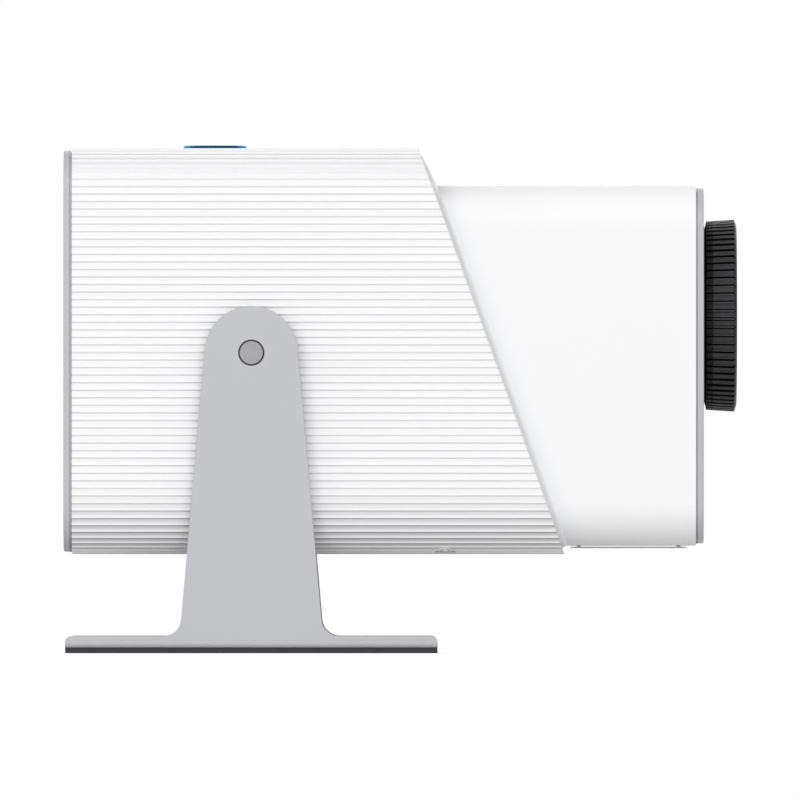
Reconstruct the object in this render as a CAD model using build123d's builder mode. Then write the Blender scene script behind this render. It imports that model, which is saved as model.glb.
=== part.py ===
"""Compact video projector: a ribbed head that tilts between the two arms of a sheet-metal yoke stand.

Frame: +X is the way the lens points, +Z is up, and the origin is the centre of the stand's underside,
directly below the tilt axis. All sizes are in millimetres.
"""

import math
import os

from build123d import *

os.makedirs("parts", exist_ok=True)

UPRIGHT = (Align.CENTER, Align.CENTER, Align.MIN)
HANGING = (Align.CENTER, Align.CENTER, Align.MAX)
SIDES = {"right": -1, "left": 1}

# ---------------------------------------------------------------- driving dimensions
# Fits
slip = 0.15  # around a piece that drops into a moulded seat
screw_slip = 0.05  # between a screw's shank and its hole, on the radius
key_slip = 0.3  # beside a key in its slot
running = 0.05  # between a turning shaft and its bore, on the radius
seat_gap = 0.1  # between two faces that move past each other
root = 0.5  # how far a rib or lug reaches into the wall that carries it
near = 0.01  # how close a corner has to be to a height to be picked there

# Screws: the shank's radius, then the head's radius and thickness
screw_radius = 1.5
screw_head_radius = 2.75
screw_head = 1.6
small_screw_radius = 1.0
small_screw_head_radius = 1.9
small_screw_head = 1.3

# Stand
base_length = 120.0
sheet_thickness = 2.5
heel_radius = 1.6  # outside the fold between base and flange
heel_inner_radius = 0.3
mat_thickness = 1.8
mat_inset = 0.1
flange_height = 5.5
flange_corner_radius = 2.2
arm_head_radius = 15.0
arm_flare = 5.0
arm_foot_radius = 5.8
arm_gap = 2.5
pivot_height = 96.6
tripod_x = 30.0
tripod_nut_radius = 6.0
tripod_nut_shank_radius = 5.0
tripod_nut_rise = 1.2
tripod_thread_radius = 2.6
tripod_mat_hole_radius = 9.0

# Tilt hinge, from the outside in
pin_head_radius = 4.2
pin_head_proud = 0.3
pin_head_chamfer = 0.2
pin_face_radius = 3.8  # of its outer end, inside a narrow groove
pin_groove_depth = 0.6
pin_collar_radius = 5.5
pin_collar_thickness = 1.0
pin_shaft_radius = 4.0
pin_thread_radius = 3.0
pin_thread_length = 9.0
spacer_radius = 10.0
hinge_boss_radius = 12.0
bush_wall = 2.5
bush_flange_radius = 9.0
bush_flange_thickness = 2.0
hinge_plate_thickness = 2.0
hinge_plate_length = 36.0
hinge_plate_height = 38.0
hinge_plate_corner = 3.0
thrust_washer_radius = 7.0
thrust_washer_thickness = 1.0
disc_spring_radius = 6.5
disc_spring_thickness = 0.6
disc_spring_cone = 0.5
disc_springs_per_side = 2
nut_across_flats = 10.0
nut_thickness = 4.0

# Ribbed sleeve of the head
head_width = 130.0
head_height = 130.6
head_drop = 64.6  # from the tilt axis down to the sleeve's underside
head_corner_radius = 14.5
sleeve_rear_reach = 57.8  # from the tilt axis back to the sleeve's end
sleeve_top_length = 111.4
sleeve_bottom_length = 158.5
sleeve_wall = 3.0
rib_pitch = 2.428
rib_first = 1.1  # half the rib on the middle of the sleeve's top
rib_least = 1.0  # half the rib on the middle of its underside is at least this
rib_depth = 0.7
rib_step = 0.5
rib_hollow = 0.14  # of its depth, below a straight slope
foot_screw_x = 62.3
foot_screw_y = 52.5
foot_screw_recess_radius = 3.5
foot_screw_recess_depth = 2.4
foot_boss_radius = 4.6
foot_boss_rise = 1.9

# Smooth front shell with its bevelled collar
shell_width = 112.0
shell_height = 115.9
shell_lift = 2.7  # from the sleeve's underside up to the shell's
shell_corner_radius = 13.0
shell_front = 143.1
shell_wall = 2.4
collar_edge = 0.2
collar_bevel = 1.6
collar_inset = 2.0
collar_plate = 1.6
spigot_length = 6.0
spigot_wall = 2.0

# Grey end plates, each held off its shell by a narrow shadow gap
plate_thickness = 2.0
plate_inset = 0.7
plate_edge_radius = 0.3
front_shadow_gap = 0.5
rear_shadow_gap = 0.7
shadow_gap_depth = 0.6
rear_spigot_length = 5.0

# Power button on top
button_x = -12.0
button_ring_radius = 10.2
button_ring_width = 1.85
button_proud = 1.35
button_pad_radius = 11.6
button_flange_radius = 12.6
button_flange_thickness = 1.5
button_cap_slip = 0.3
button_cap_lip = 1.25
button_cap_lip_thickness = 0.9
button_cap_gap = 0.2
button_dish_depth = 0.5
button_travel = 0.5
button_stem_radius = 2.0
button_stem_length = 2.0
switch_size = 6.0
switch_height = 2.0
button_board_length = 38.0
button_board_width = 14.0
board_thickness = 1.6
button_post_radius = 2.2
button_post_spacing = 31.0

# Lens group, all on the lens axis
lens_rise = 16.4  # from the shell's middle up to the lens axis
ring_gap = 0.65
ring_length = 10.3
ring_front_radius = 31.1
ring_rear_radius = 30.45
ring_flare = 0.2
ring_front_chamfer = (0.9, 2.0)  # along the axis, and on the radius
ring_rear_chamfer = (0.55, 2.4)
ring_teeth = 72
ring_tooth_share = 0.6
ring_groove_depth = 0.7
ring_mouth_radius = 26.0
ring_mouth_depth = 3.0
hub_radius = 27.0
hub_length = 24.7
hub_end_length = 1.9
hub_end_step = 1.0
clip_radius = 28.4
clip_thickness = 1.5
clip_clearance = 0.3
clip_pocket_gap = 0.5
barrel_radius = 23.9
barrel_tail = 9.0  # behind the guide
barrel_recess = 5.1
barrel_wall = 1.9
key_width = 4.0
key_height = 2.0
key_length = 4.4
mount_wall = 1.9
mount_rear_radius = 33.6
mount_flange_radius = 38.5
mount_flange_thickness = 2.5
mount_screw_circle = 36.1
mount_screw_length = 4.3
guide_length = 12.0
guide_screw_circle = 31.2
guide_screw_length = 17.0
ring_clearance = 0.3
front_seat_setback = 10.0  # from the barrel's front end
middle_seat_setback = 17.0  # from the front lens's seat
rear_seat_setback = 19.0  # from the middle lens's seat
seat_width = 2.0
rear_seat_width = 3.0
front_lens_edge = 4.0
front_lens_curve = 60.0
front_lens_back_curve = 90.0
middle_lens_edge = 4.0
middle_lens_curve = 45.0
rear_lens_edge = 5.0
rear_lens_curve = 50.0
lens_slip = 0.1
lens_rim = 3.0
retainer_thickness = 2.0
retainer_width = 2.0
spacer_relief = 0.3

# Optical engine
engine_width = 84.0
engine_height = 60.0
engine_length = 116.0
engine_wall = 2.0
engine_corner = 3.0
engine_cover_edge = 0.6
engine_lens_gap = 14.0
engine_front_opening_radius = 25.0
engine_led_opening = 20.0
optic_slip = 0.1
rail_thickness = 1.2
rail_height = 1.6
heat_glass_at = 48.0  # distances from the engine's rear end
heat_glass_thickness = 1.5
rear_fresnel_at = 58.0
front_fresnel_at = 84.0
fresnel_thickness = 2.0
panel_at = 70.0
panel_thickness = 3.0
panel_border = 4.5
panel_recess = 0.8
cone_throat = 22.0
cone_wall = 1.0
cone_flange = 1.0
cone_margin = 1.0
led_plate_size = 36.0
led_plate_thickness = 2.0
led_chip_size = 14.0
led_chip_thickness = 1.0
sink_width = 70.0
sink_height = 58.0
sink_base = 4.0
sink_fin_length = 16.0
sink_fins = 15
sink_fin_thickness = 1.2
engine_ear_length = 12.0
engine_ear_hole = 7.5
engine_ear_thickness = 4.0
engine_ear_rear = 10.0
engine_ear_front = 84.0
engine_screw_length = 12.0
screw_hole_spare = 1.0  # of a blind hole, past the screw's end

# Tray, boards and what stands on them
tray_lift = 3.0
tray_thickness = 2.0
tray_half_width = 46.0
tray_wing_half_width = 54.5
tray_wing_rear = -30.0
tray_rear_gap = 5.8
tray_front = 90.0
standoff_height = 6.0
standoff_radius = 3.0
standoff_inset = 4.0
standoff_spread = 0.3  # of a board's length, either way from its middle
column_radius = 4.0
tray_foot_rise = 4.0
tray_foot_radius = 4.0
tray_leg_setback = 12.0
tray_leg_y = 30.0
tray_leg_radius = 4.0
board_screw_length = 5.5
foot_screw_length = 9.0
main_board_length = 86.0
board_half_width = 45.0
power_board_length = 50.0
board_gap = 5.0
board_setback = 1.0  # of the main board's edge, from the rear plate's inner face
transformer = (24.0, 22.0, 18.0)
transformer_y = -18.0
capacitor_radius = 6.0
capacitor_height = 20.0
capacitor_edge = 0.6
capacitor_points = ((-8.0, 14.0), (-8.0, 30.0), (8.0, 22.0))
processor_sink = (26.0, 26.0, 8.0)
processor_sink_fins = 7
processor_sink_fin = 1.0
processor_sink_base = 2.0
processor_offset = 8.0

# Sockets on the main board's rear edge: place across the head, then width, height and depth
socket_wall = 0.8
socket_slip = 0.4
socket_setback = 0.2  # of a socket's mouth, from the rear plate's outer face
inlet_y = -33.5
inlet_mouth = (17.0, 7.4, 12.0)
inlet_pin_radius = 1.2
inlet_pin_length = 6.0
inlet_pin_spacing = 8.6
hdmi_y = -13.0
hdmi_mouth = (14.4, 4.8, 9.0)
usb_y = 9.0
usb_mouth = (12.6, 5.2, 11.0)
tongue_setback = 3.0
tongue_margin = 1.2
tongue_thickness = 1.4
jack_y = 27.0
jack_body = (9.0, 6.0, 12.0)
jack_hole_radius = 1.8

# Fans and speakers
fan_size = 60.0
fan_depth = 10.0
fan_wall_gap = 1.5
fan_rim = 1.5
fan_corner = 3.0
fan_pad_radius = 3.0
fan_pad_inset = 5.0
fan_hub_radius = 12.5
fan_blades = 7
intake_fan_size = 36.0
intake_fan_depth = 9.0
intake_fan_hub_radius = 8.0
fan_hub_share = 0.8  # of the fan's depth
fan_blade_clearance = 0.8
fan_plate_gap = 0.3
fan_hub_nose = 0.5
fan_plate = 1.2
fan_axle_radius = 2.5
fan_strut = 2.5
blade_thickness = 1.0
blade_pitch_angle = 38.0
speaker_y = 44.5
speaker_drop = 24.3  # below the tilt axis
speaker_radius = 15.0
speaker_flange = 2.0
speaker_dome_radius = 5.0
speaker_cone_setback = 0.6
speaker_depth = 13.0
speaker_magnet_radius = 9.0
speaker_magnet_depth = 5.0

# Grilles
grille_radius = 28.5
grille_slot = 2.0
grille_slot_pitch = 4.0
grille_spine = 3.0
grille_border = 2.0
speaker_hole_radius = 0.9
speaker_hole_pitch = 3.4
speaker_hole_rings = 3

# Service cover and filter under the front shell
cover_start = 103.1
cover_length = 37.3
cover_width = 76.0
cover_proud = 0.85
cover_slit = 0.4  # between its plate and the shell, all round
cover_edge = 0.15
cover_corner = 2.0
cover_rib_width = 0.8
cover_lip = 2.0
cover_plug = 2.1
cover_slot = 2.2
cover_slot_pitch = 4.4
cover_slots = 7
cover_slot_length = 56.0
filter_thickness = 3.0
filter_inset = 0.6

# Rear cover screws and infrared window
cover_screw_y = 53.0
cover_screw_z = 53.3  # above and below the sleeve's middle
cover_screw_length = 14.0
corner_block = 15.5
corner_block_length = 12.0
corner_block_gap = 0.2
infrared_inset = 16.0  # from the front shell's side to the window's middle
infrared_drop = 44.0
infrared_radius = 3.0
infrared_length = 8.0
infrared_flange = 1.5
infrared_setback = 0.1
infrared_dome = 0.5

# ---------------------------------------------------------------- levels worked out from them
arm_inner = head_width / 2 + arm_gap
arm_outer = arm_inner + sheet_thickness
base_top = mat_thickness + sheet_thickness

head_bottom = pivot_height - head_drop
head_mid = head_bottom + head_height / 2
head_top = head_bottom + head_height
sleeve_floor = head_bottom + sleeve_wall
sleeve_ceiling = head_top - sleeve_wall
sleeve_side = head_width / 2 - sleeve_wall
sleeve_rear = -sleeve_rear_reach
inner_width = head_width - 2 * sleeve_wall
inner_height = head_height - 2 * sleeve_wall
inner_corner = head_corner_radius - sleeve_wall

rim_top_x = sleeve_rear + sleeve_top_length
rim_bottom_x = sleeve_rear + sleeve_bottom_length
rim_angle = math.atan((rim_bottom_x - rim_top_x) / head_height)
rim_plane = Plane(
    origin=((rim_top_x + rim_bottom_x) / 2, 0, head_mid),
    x_dir=(0, 1, 0),
    z_dir=(math.cos(rim_angle), 0, math.sin(rim_angle)),
)

shell_bottom = head_bottom + shell_lift
shell_mid = shell_bottom + shell_height / 2
shell_floor = shell_bottom + shell_wall
shell_inner_width = shell_width - 2 * shell_wall
shell_inner_height = shell_height - 2 * shell_wall
shell_inner_corner = shell_corner_radius - shell_wall
shell_inner_front = shell_front - shell_wall

panel_back = shell_front + front_shadow_gap
panel_front = panel_back + plate_thickness
cover_plate_front = sleeve_rear - rear_shadow_gap
cover_plate_back = cover_plate_front - plate_thickness

lens_height = shell_mid + lens_rise
ring_rear = panel_front + ring_gap
ring_front = ring_rear + ring_length
hub_rear = ring_rear - hub_length - hub_end_length
hub_step = hub_rear + hub_end_length
mount_bore = hub_radius + running
mount_radius = mount_bore + mount_wall
guide_front = hub_rear - clip_pocket_gap
guide_rear = guide_front - guide_length
lens_front = ring_front - barrel_recess
barrel_rear = guide_rear - barrel_tail
lens_plane = Plane(origin=(0, 0, lens_height), x_dir=(1, 0, 0), z_dir=(0, -1, 0))

button_ring_foot = sleeve_ceiling - button_flange_thickness
button_bore = button_ring_radius - button_ring_width
cap_radius = button_bore - button_cap_slip
cap_lip_top = button_ring_foot - button_cap_gap
cap_lip_foot = cap_lip_top - button_cap_lip_thickness
stem_foot = cap_lip_foot - button_stem_length
switch_top = stem_foot - button_travel - seat_gap
button_board_top = switch_top - switch_height

engine_front = guide_rear - engine_lens_gap
engine_rear = engine_front - engine_length
engine_bottom = lens_height - engine_height / 2
engine_inner_width = engine_width - 2 * engine_wall

tray_bottom = sleeve_floor + tray_lift
tray_top = tray_bottom + tray_thickness
tray_rear = sleeve_rear + tray_rear_gap
board_bottom = tray_top + standoff_height
board_top = board_bottom + board_thickness
main_board_rear = cover_plate_front + board_setback
main_board_front = main_board_rear + main_board_length
power_board_rear = main_board_front + board_gap
power_board_front = power_board_rear + power_board_length


# ---------------------------------------------------------------- helpers
def cross_plane(x, y=0.0, z=0.0):
    """A plane square to the lens axis: local x runs along +Y, local y along +Z, and it faces +X."""
    return Plane(origin=(x, y, z), x_dir=(0, 1, 0), z_dir=(1, 0, 0))


def hinge_plane(side):
    """A plane for hinge profiles: local x runs outwards along the tilt axis, local y is the radius."""
    return Plane(origin=(0, 0, pivot_height), x_dir=(0, side, 0), z_dir=(side, 0, 0))


def rounded_outline(plane, width, height, radius):
    """A rounded rectangle, centred on a plane."""
    with BuildSketch(plane) as outline:
        RectangleRounded(width, height, radius)
    return outline.sketch


def block(x, y, z, mode=Mode.ADD):
    """A box in the part that is being built, between a low and a high value each way."""
    with Locations(((x[0] + x[1]) / 2, (y[0] + y[1]) / 2, (z[0] + z[1]) / 2)):
        Box(x[1] - x[0], y[1] - y[0], z[1] - z[0], mode=mode)


def disc_along_x(x, radius, y=0.0, z=0.0, mode=Mode.ADD):
    """A cylinder along X in the part that is being built, between a low and a high x."""
    with Locations(cross_plane(x[0], y, z)):
        Cylinder(radius, x[1] - x[0], align=UPRIGHT, mode=mode)


def post(x, y, z, radius, mode=Mode.ADD):
    """An upright cylinder in the part that is being built, between a low and a high z."""
    with Locations((x, y, z[0])):
        Cylinder(radius, z[1] - z[0], align=UPRIGHT, mode=mode)


def turned(plane, points):
    """A solid turned from a closed profile about its plane's local x axis."""
    with BuildPart() as piece:
        with BuildSketch(plane):
            with BuildLine():
                Polyline(*points, close=True)
            make_face()
        revolve(axis=Axis(plane.origin, plane.x_dir))
    return piece.part


def between_rims(outline, rear, front):
    """A length of an outline along X, cut off by two planes parallel to the sleeve's slanted rim."""
    with BuildPart() as length:
        extrude(outline, amount=sleeve_bottom_length)
        split(bisect_by=rim_plane.offset(front), keep=Keep.BOTTOM)
        split(bisect_by=rim_plane.offset(rear), keep=Keep.TOP)
    return length.part


def save(piece, label):
    """Labels a finished piece and writes it to its own file."""
    piece.part.label = label
    export_step(piece.part, f"parts/{label}.step")


# ---------------------------------------------------------------- stand
# One piece, shaped like a folded sheet: a base whose long edges turn up into flanges, and an arm in each.
arm_shoulder = (
    arm_head_radius * math.cos(math.radians(arm_flare)),
    pivot_height + arm_head_radius * math.sin(math.radians(arm_flare)),
)
arm_foot_half = arm_shoulder[0] + (arm_shoulder[1] - flange_height) * math.tan(math.radians(arm_flare))


def at_flange_top(side):
    """A side view's corners at the flanges' height, from the rear to the front."""
    corners = side.vertices().filter_by_position(Axis.Y, flange_height - near, flange_height + near)
    return corners.sort_by(Axis.X)


with BuildPart() as stand_bracket:
    with BuildSketch(cross_plane(-base_length / 2)):
        with Locations((0, mat_thickness)):
            Rectangle(2 * arm_outer, pivot_height + arm_head_radius, align=(Align.CENTER, Align.MIN))
    extrude(amount=base_length)
    fillet(stand_bracket.edges().filter_by(Axis.X).group_by(Axis.Z)[0], heel_radius)
    with BuildSketch(cross_plane(-base_length / 2)) as inside:
        with Locations((0, base_top)):
            Rectangle(2 * arm_inner, pivot_height + arm_head_radius, align=(Align.CENTER, Align.MIN))
        fillet(inside.vertices().group_by(Axis.Y)[0], heel_inner_radius)
    extrude(amount=base_length, mode=Mode.SUBTRACT)
    with BuildSketch(Plane.XZ.offset(-arm_outer)) as side_view:
        with BuildLine():
            Polyline(
                (-arm_foot_half, flange_height),
                (-arm_shoulder[0], arm_shoulder[1]),
                (arm_shoulder[0], arm_shoulder[1]),
                (arm_foot_half, flange_height),
                close=True,
            )
        make_face()
        with Locations((0, pivot_height)):
            Circle(arm_head_radius)
        with Locations((0, mat_thickness)):
            Rectangle(base_length, flange_height - mat_thickness, align=(Align.CENTER, Align.MIN))
        fillet(at_flange_top(side_view)[1:3], arm_foot_radius)
        fillet([at_flange_top(side_view)[0], at_flange_top(side_view)[-1]], flange_corner_radius)
    extrude(amount=2 * arm_outer, mode=Mode.INTERSECT)
    with Locations(Plane(origin=(0, 0, pivot_height), z_dir=(0, 1, 0))):
        Cylinder(pin_head_radius, 2 * arm_outer, mode=Mode.SUBTRACT)
    post(tripod_x, 0, (mat_thickness, base_top), tripod_nut_shank_radius, mode=Mode.SUBTRACT)
save(stand_bracket, "stand_bracket")

with BuildPart() as stand_mat:
    mat_half_length = base_length / 2 - mat_inset
    mat_half_width = arm_outer - heel_radius
    block((-mat_half_length, mat_half_length), (-mat_half_width, mat_half_width), (0, mat_thickness))
    post(tripod_x, 0, (0, mat_thickness), tripod_mat_hole_radius, mode=Mode.SUBTRACT)
save(stand_mat, "stand_mat")

with BuildPart() as tripod_nut:
    post(tripod_x, 0, (base_top, base_top + tripod_nut_rise), tripod_nut_radius)
    post(tripod_x, 0, (mat_thickness, base_top), tripod_nut_shank_radius)
    post(tripod_x, 0, (mat_thickness, base_top + tripod_nut_rise), tripod_thread_radius, mode=Mode.SUBTRACT)
save(tripod_nut, "tripod_nut")

# ---------------------------------------------------------------- tilt hinge
# Measured outwards from the head's middle, along the tilt axis.
boss_face = head_width / 2
plate_inner = sleeve_side - hinge_plate_thickness
bush_inner = plate_inner - bush_flange_thickness
bush_radius = pin_shaft_radius + running + bush_wall
washer_outer = bush_inner - seat_gap
washer_inner = washer_outer - thrust_washer_thickness
spring_step = disc_spring_thickness + disc_spring_cone
nut_outer = washer_inner - disc_springs_per_side * spring_step
pin_inner = bush_inner - pin_thread_length
spacer_thickness = arm_gap - seat_gap
bush_hole_radius = bush_radius + screw_slip

for name, side in SIDES.items():
    with BuildPart() as hinge_pin:
        add(
            turned(
                hinge_plane(side),
                [
                    (pin_inner, 0),
                    (pin_inner, pin_thread_radius),
                    (bush_inner - seat_gap, pin_thread_radius),
                    (bush_inner - seat_gap, pin_shaft_radius),
                    (arm_inner - pin_collar_thickness, pin_shaft_radius),
                    (arm_inner - pin_collar_thickness, pin_collar_radius),
                    (arm_inner, pin_collar_radius),
                    (arm_inner, pin_head_radius),
                    (arm_outer - pin_groove_depth, pin_head_radius),
                    (arm_outer - pin_groove_depth, pin_face_radius),
                    (arm_outer + pin_head_proud - pin_head_chamfer, pin_face_radius),
                    (arm_outer + pin_head_proud, pin_face_radius - pin_head_chamfer),
                    (arm_outer + pin_head_proud, 0),
                ],
            )
        )
    save(hinge_pin, f"hinge_pin_{name}")

with BuildPart() as spacer_washers:
    for side in SIDES.values():
        with Locations(Plane(origin=(0, side * arm_inner, pivot_height), z_dir=(0, -side, 0))):
            Cylinder(spacer_radius, spacer_thickness, align=UPRIGHT)
            Cylinder(pin_collar_radius + slip, spacer_thickness, align=UPRIGHT, mode=Mode.SUBTRACT)
save(spacer_washers, "spacer_washers")

with BuildPart() as thrust_washers:
    for side in SIDES.values():
        with Locations(Plane(origin=(0, side * washer_outer, pivot_height), z_dir=(0, -side, 0))):
            Cylinder(thrust_washer_radius, thrust_washer_thickness, align=UPRIGHT)
            Cylinder(
                pin_thread_radius + slip, thrust_washer_thickness, align=UPRIGHT, mode=Mode.SUBTRACT
            )
save(thrust_washers, "thrust_washers")

with BuildPart() as disc_springs:
    for side in SIDES.values():
        for number in range(disc_springs_per_side):
            outer = washer_inner - number * spring_step - (spring_step if number % 2 else 0)
            lean = -1 if number % 2 else 1
            inner_end = outer - lean * disc_spring_cone
            add(
                turned(
                    hinge_plane(side),
                    [
                        (outer, disc_spring_radius),
                        (outer - lean * disc_spring_thickness, disc_spring_radius),
                        (inner_end - lean * disc_spring_thickness, pin_thread_radius + slip),
                        (inner_end, pin_thread_radius + slip),
                    ],
                )
            )
save(disc_springs, "disc_springs")

with BuildPart() as lock_nuts:
    for side in SIDES.values():
        facing = Plane(origin=(0, side * nut_outer, pivot_height), z_dir=(0, -side, 0))
        with BuildSketch(facing):
            RegularPolygon(nut_across_flats / 2, 6, major_radius=False)
            Circle(pin_thread_radius + screw_slip, mode=Mode.SUBTRACT)
        extrude(amount=nut_thickness)
save(lock_nuts, "lock_nuts")

with BuildPart() as hinge_bushes:
    for side in SIDES.values():
        add(
            turned(
                hinge_plane(side),
                [
                    (bush_inner, pin_shaft_radius + running),
                    (bush_inner, bush_flange_radius),
                    (plate_inner, bush_flange_radius),
                    (plate_inner, bush_radius),
                    (boss_face, bush_radius),
                    (boss_face, pin_shaft_radius + running),
                ],
            )
        )
save(hinge_bushes, "hinge_bushes")

with BuildPart() as hinge_plates:
    for side in SIDES.values():
        facing = Plane(origin=(0, side * sleeve_side, pivot_height), x_dir=(1, 0, 0), z_dir=(0, -side, 0))
        with BuildSketch(facing):
            RectangleRounded(hinge_plate_length, hinge_plate_height, hinge_plate_corner)
            Circle(bush_hole_radius, mode=Mode.SUBTRACT)
        extrude(amount=hinge_plate_thickness)
save(hinge_plates, "hinge_plates")


# ---------------------------------------------------------------- ribbed sleeve
def around_sleeve(distance, depth):
    """A point at a distance round the sleeve, down from the middle of its top, and a depth below its lips."""
    flat_across = head_width / 2 - head_corner_radius
    flat_down = head_height - 2 * head_corner_radius
    quarter = math.pi / 2 * head_corner_radius
    reach = head_corner_radius - depth
    if distance <= flat_across:
        return distance, head_height / 2 - depth
    distance -= flat_across
    if distance <= quarter:
        turn = distance / head_corner_radius
        return flat_across + reach * math.sin(turn), flat_down / 2 + reach * math.cos(turn)
    distance -= quarter
    if distance <= flat_down:
        return head_width / 2 - depth, flat_down / 2 - distance
    distance -= flat_down
    if distance <= quarter:
        turn = distance / head_corner_radius
        return flat_across + reach * math.cos(turn), -flat_down / 2 - reach * math.sin(turn)
    distance -= quarter
    return flat_across - distance, depth - head_height / 2


def ribbed_outline():
    """The sleeve's section: each rib swells gently to a lip, then steps back in, all the way round."""
    half_way = 2 * (head_width / 2 - head_corner_radius) + head_height - 2 * head_corner_radius
    half_way += math.pi * head_corner_radius
    whole_ribs = math.floor((half_way - rib_first - rib_least) / rib_pitch)
    ends = [rib_first + number * rib_pitch for number in range(whole_ribs + 1)]
    ends.append(half_way)
    with BuildSketch(cross_plane(sleeve_rear, 0, head_mid)) as outline:
        with BuildLine():
            start = 0
            depth = rib_depth * (rib_first - rib_step) / (rib_pitch - rib_step)
            for end in ends:
                lip = end - rib_step
                ThreePointArc(
                    around_sleeve(start, depth),
                    around_sleeve((start + lip) / 2, depth * (0.5 + rib_hollow)),
                    around_sleeve(lip, 0),
                )
                start = end
                depth = rib_depth
                foot = around_sleeve(end, rib_depth)
                Line(around_sleeve(lip, 0), (0, foot[1]) if end == half_way else foot)
            mirror(about=Plane.YZ)
        make_face()
        RectangleRounded(inner_width, inner_height, inner_corner, mode=Mode.SUBTRACT)
    return outline.sketch


sleeve_end = cross_plane(sleeve_rear, 0, head_mid)
inner_outline = rounded_outline(sleeve_end, inner_width, inner_height, inner_corner)
screw_hole = screw_radius + screw_slip
small_screw_hole = small_screw_radius + screw_slip
block_start = sleeve_rear + rear_spigot_length + corner_block_gap
block_end = sleeve_rear + rear_spigot_length + corner_block_length
foot_boss_top = sleeve_floor + foot_boss_rise
foot_seat = head_bottom + foot_screw_recess_depth

with BuildPart() as corner_blocks:
    for across in (-1, 1):
        for up in (-1, 1):
            edge_y = across * (inner_width / 2 - corner_block)
            edge_z = head_mid + up * (inner_height / 2 - corner_block)
            block(
                (block_start, block_end),
                sorted((edge_y, across * inner_width / 2)),
                sorted((edge_z, head_mid + up * inner_height / 2)),
            )
    extrude(inner_outline, amount=sleeve_top_length, mode=Mode.INTERSECT)

with BuildPart() as outer_sleeve:
    extrude(ribbed_outline(), amount=sleeve_bottom_length)
    split(bisect_by=rim_plane, keep=Keep.BOTTOM)
    post(button_x, 0, (sleeve_ceiling, head_top), button_pad_radius)
    post(button_x, 0, (sleeve_ceiling, head_top), button_ring_radius + slip, mode=Mode.SUBTRACT)
    for end in (-1, 1):
        x = button_x + end * button_post_spacing / 2
        post(x, 0, (button_board_top, sleeve_ceiling), button_post_radius)
        post(x, 0, (button_board_top, sleeve_ceiling - 1), small_screw_hole, mode=Mode.SUBTRACT)
    for side in SIDES.values():
        with Locations(Plane(origin=(0, side * sleeve_side, pivot_height), z_dir=(0, side, 0))):
            Cylinder(hinge_boss_radius, sleeve_wall, align=UPRIGHT)
            Cylinder(bush_hole_radius, sleeve_wall, align=UPRIGHT, mode=Mode.SUBTRACT)
        y = side * foot_screw_y
        post(foot_screw_x, y, (head_bottom + sleeve_wall / 2, foot_boss_top), foot_boss_radius)
        post(foot_screw_x, y, (head_bottom, foot_seat), foot_screw_recess_radius, mode=Mode.SUBTRACT)
        post(foot_screw_x, y, (head_bottom, foot_boss_top), screw_hole, mode=Mode.SUBTRACT)
    add(corner_blocks.part)
    for across in (-1, 1):
        for up in (-1, 1):
            disc_along_x(
                (sleeve_rear, block_end),
                screw_hole,
                across * cover_screw_y,
                head_mid + up * cover_screw_z,
                mode=Mode.SUBTRACT,
            )
save(outer_sleeve, "outer_sleeve")

# ---------------------------------------------------------------- front shell
shell_outline = rounded_outline(cross_plane(0, 0, shell_mid), shell_width, shell_height, shell_corner_radius)
shell_hollow = rounded_outline(
    cross_plane(0, 0, shell_mid), shell_inner_width, shell_inner_height, shell_inner_corner
)
collar_size = (
    head_mid,
    head_width - 2 * collar_inset,
    head_height - 2 * collar_inset,
    head_corner_radius - collar_inset,
)
shell_size = (shell_mid, shell_width, shell_height, shell_corner_radius)
spigot_outline = rounded_outline(
    cross_plane(0, 0, head_mid), inner_width - 2 * slip, inner_height - 2 * slip, inner_corner - slip
)
spigot_hollow = rounded_outline(
    cross_plane(0, 0, head_mid),
    inner_width - 2 * slip - 2 * spigot_wall,
    inner_height - 2 * slip - 2 * spigot_wall,
    inner_corner - slip - spigot_wall,
)


def slanted_section(offset, middle, width, height, radius):
    """The section of a rounded bar along X, cut by a plane parallel to the sleeve's slanted rim."""
    along = (offset - (middle - head_mid) * math.sin(rim_angle)) / math.cos(rim_angle)
    cut = Plane(origin=(rim_plane.origin.X + along, 0, middle), x_dir=(0, 1, 0), z_dir=rim_plane.z_dir)
    tall = 1 / math.cos(rim_angle)
    corner_y = width / 2 - radius
    corner_z = (height / 2 - radius) * tall
    with BuildSketch(cut) as section:
        with BuildLine():
            for turn, across, up in ((0, 1, 1), (90, -1, 1), (180, -1, -1), (270, 1, -1)):
                corner = (across * corner_y, up * corner_z)
                EllipticalCenterArc(corner, radius, radius * tall, start_angle=turn, arc_size=90)
            Line((-corner_y, height / 2 * tall), (corner_y, height / 2 * tall))
            Line((-corner_y, -height / 2 * tall), (corner_y, -height / 2 * tall))
            Line((width / 2, -corner_z), (width / 2, corner_z))
            Line((-width / 2, -corner_z), (-width / 2, corner_z))
        make_face()
    return section.sketch


cover_end = cover_start + cover_length
hatch_start = cover_start + cover_lip
hatch_end = cover_end - cover_lip
hatch_half_width = cover_width / 2 - cover_lip
intake_x = (cover_start + cover_end) / 2
intake_half = intake_fan_size / 2
plug_top = shell_bottom + cover_plug
filter_top = plug_top + filter_thickness
intake_fan_foot = filter_top + seat_gap
mount_flange_rear = shell_inner_front - mount_flange_thickness
infrared_y = infrared_inset - shell_width / 2
infrared_z = lens_height - infrared_drop

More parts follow.
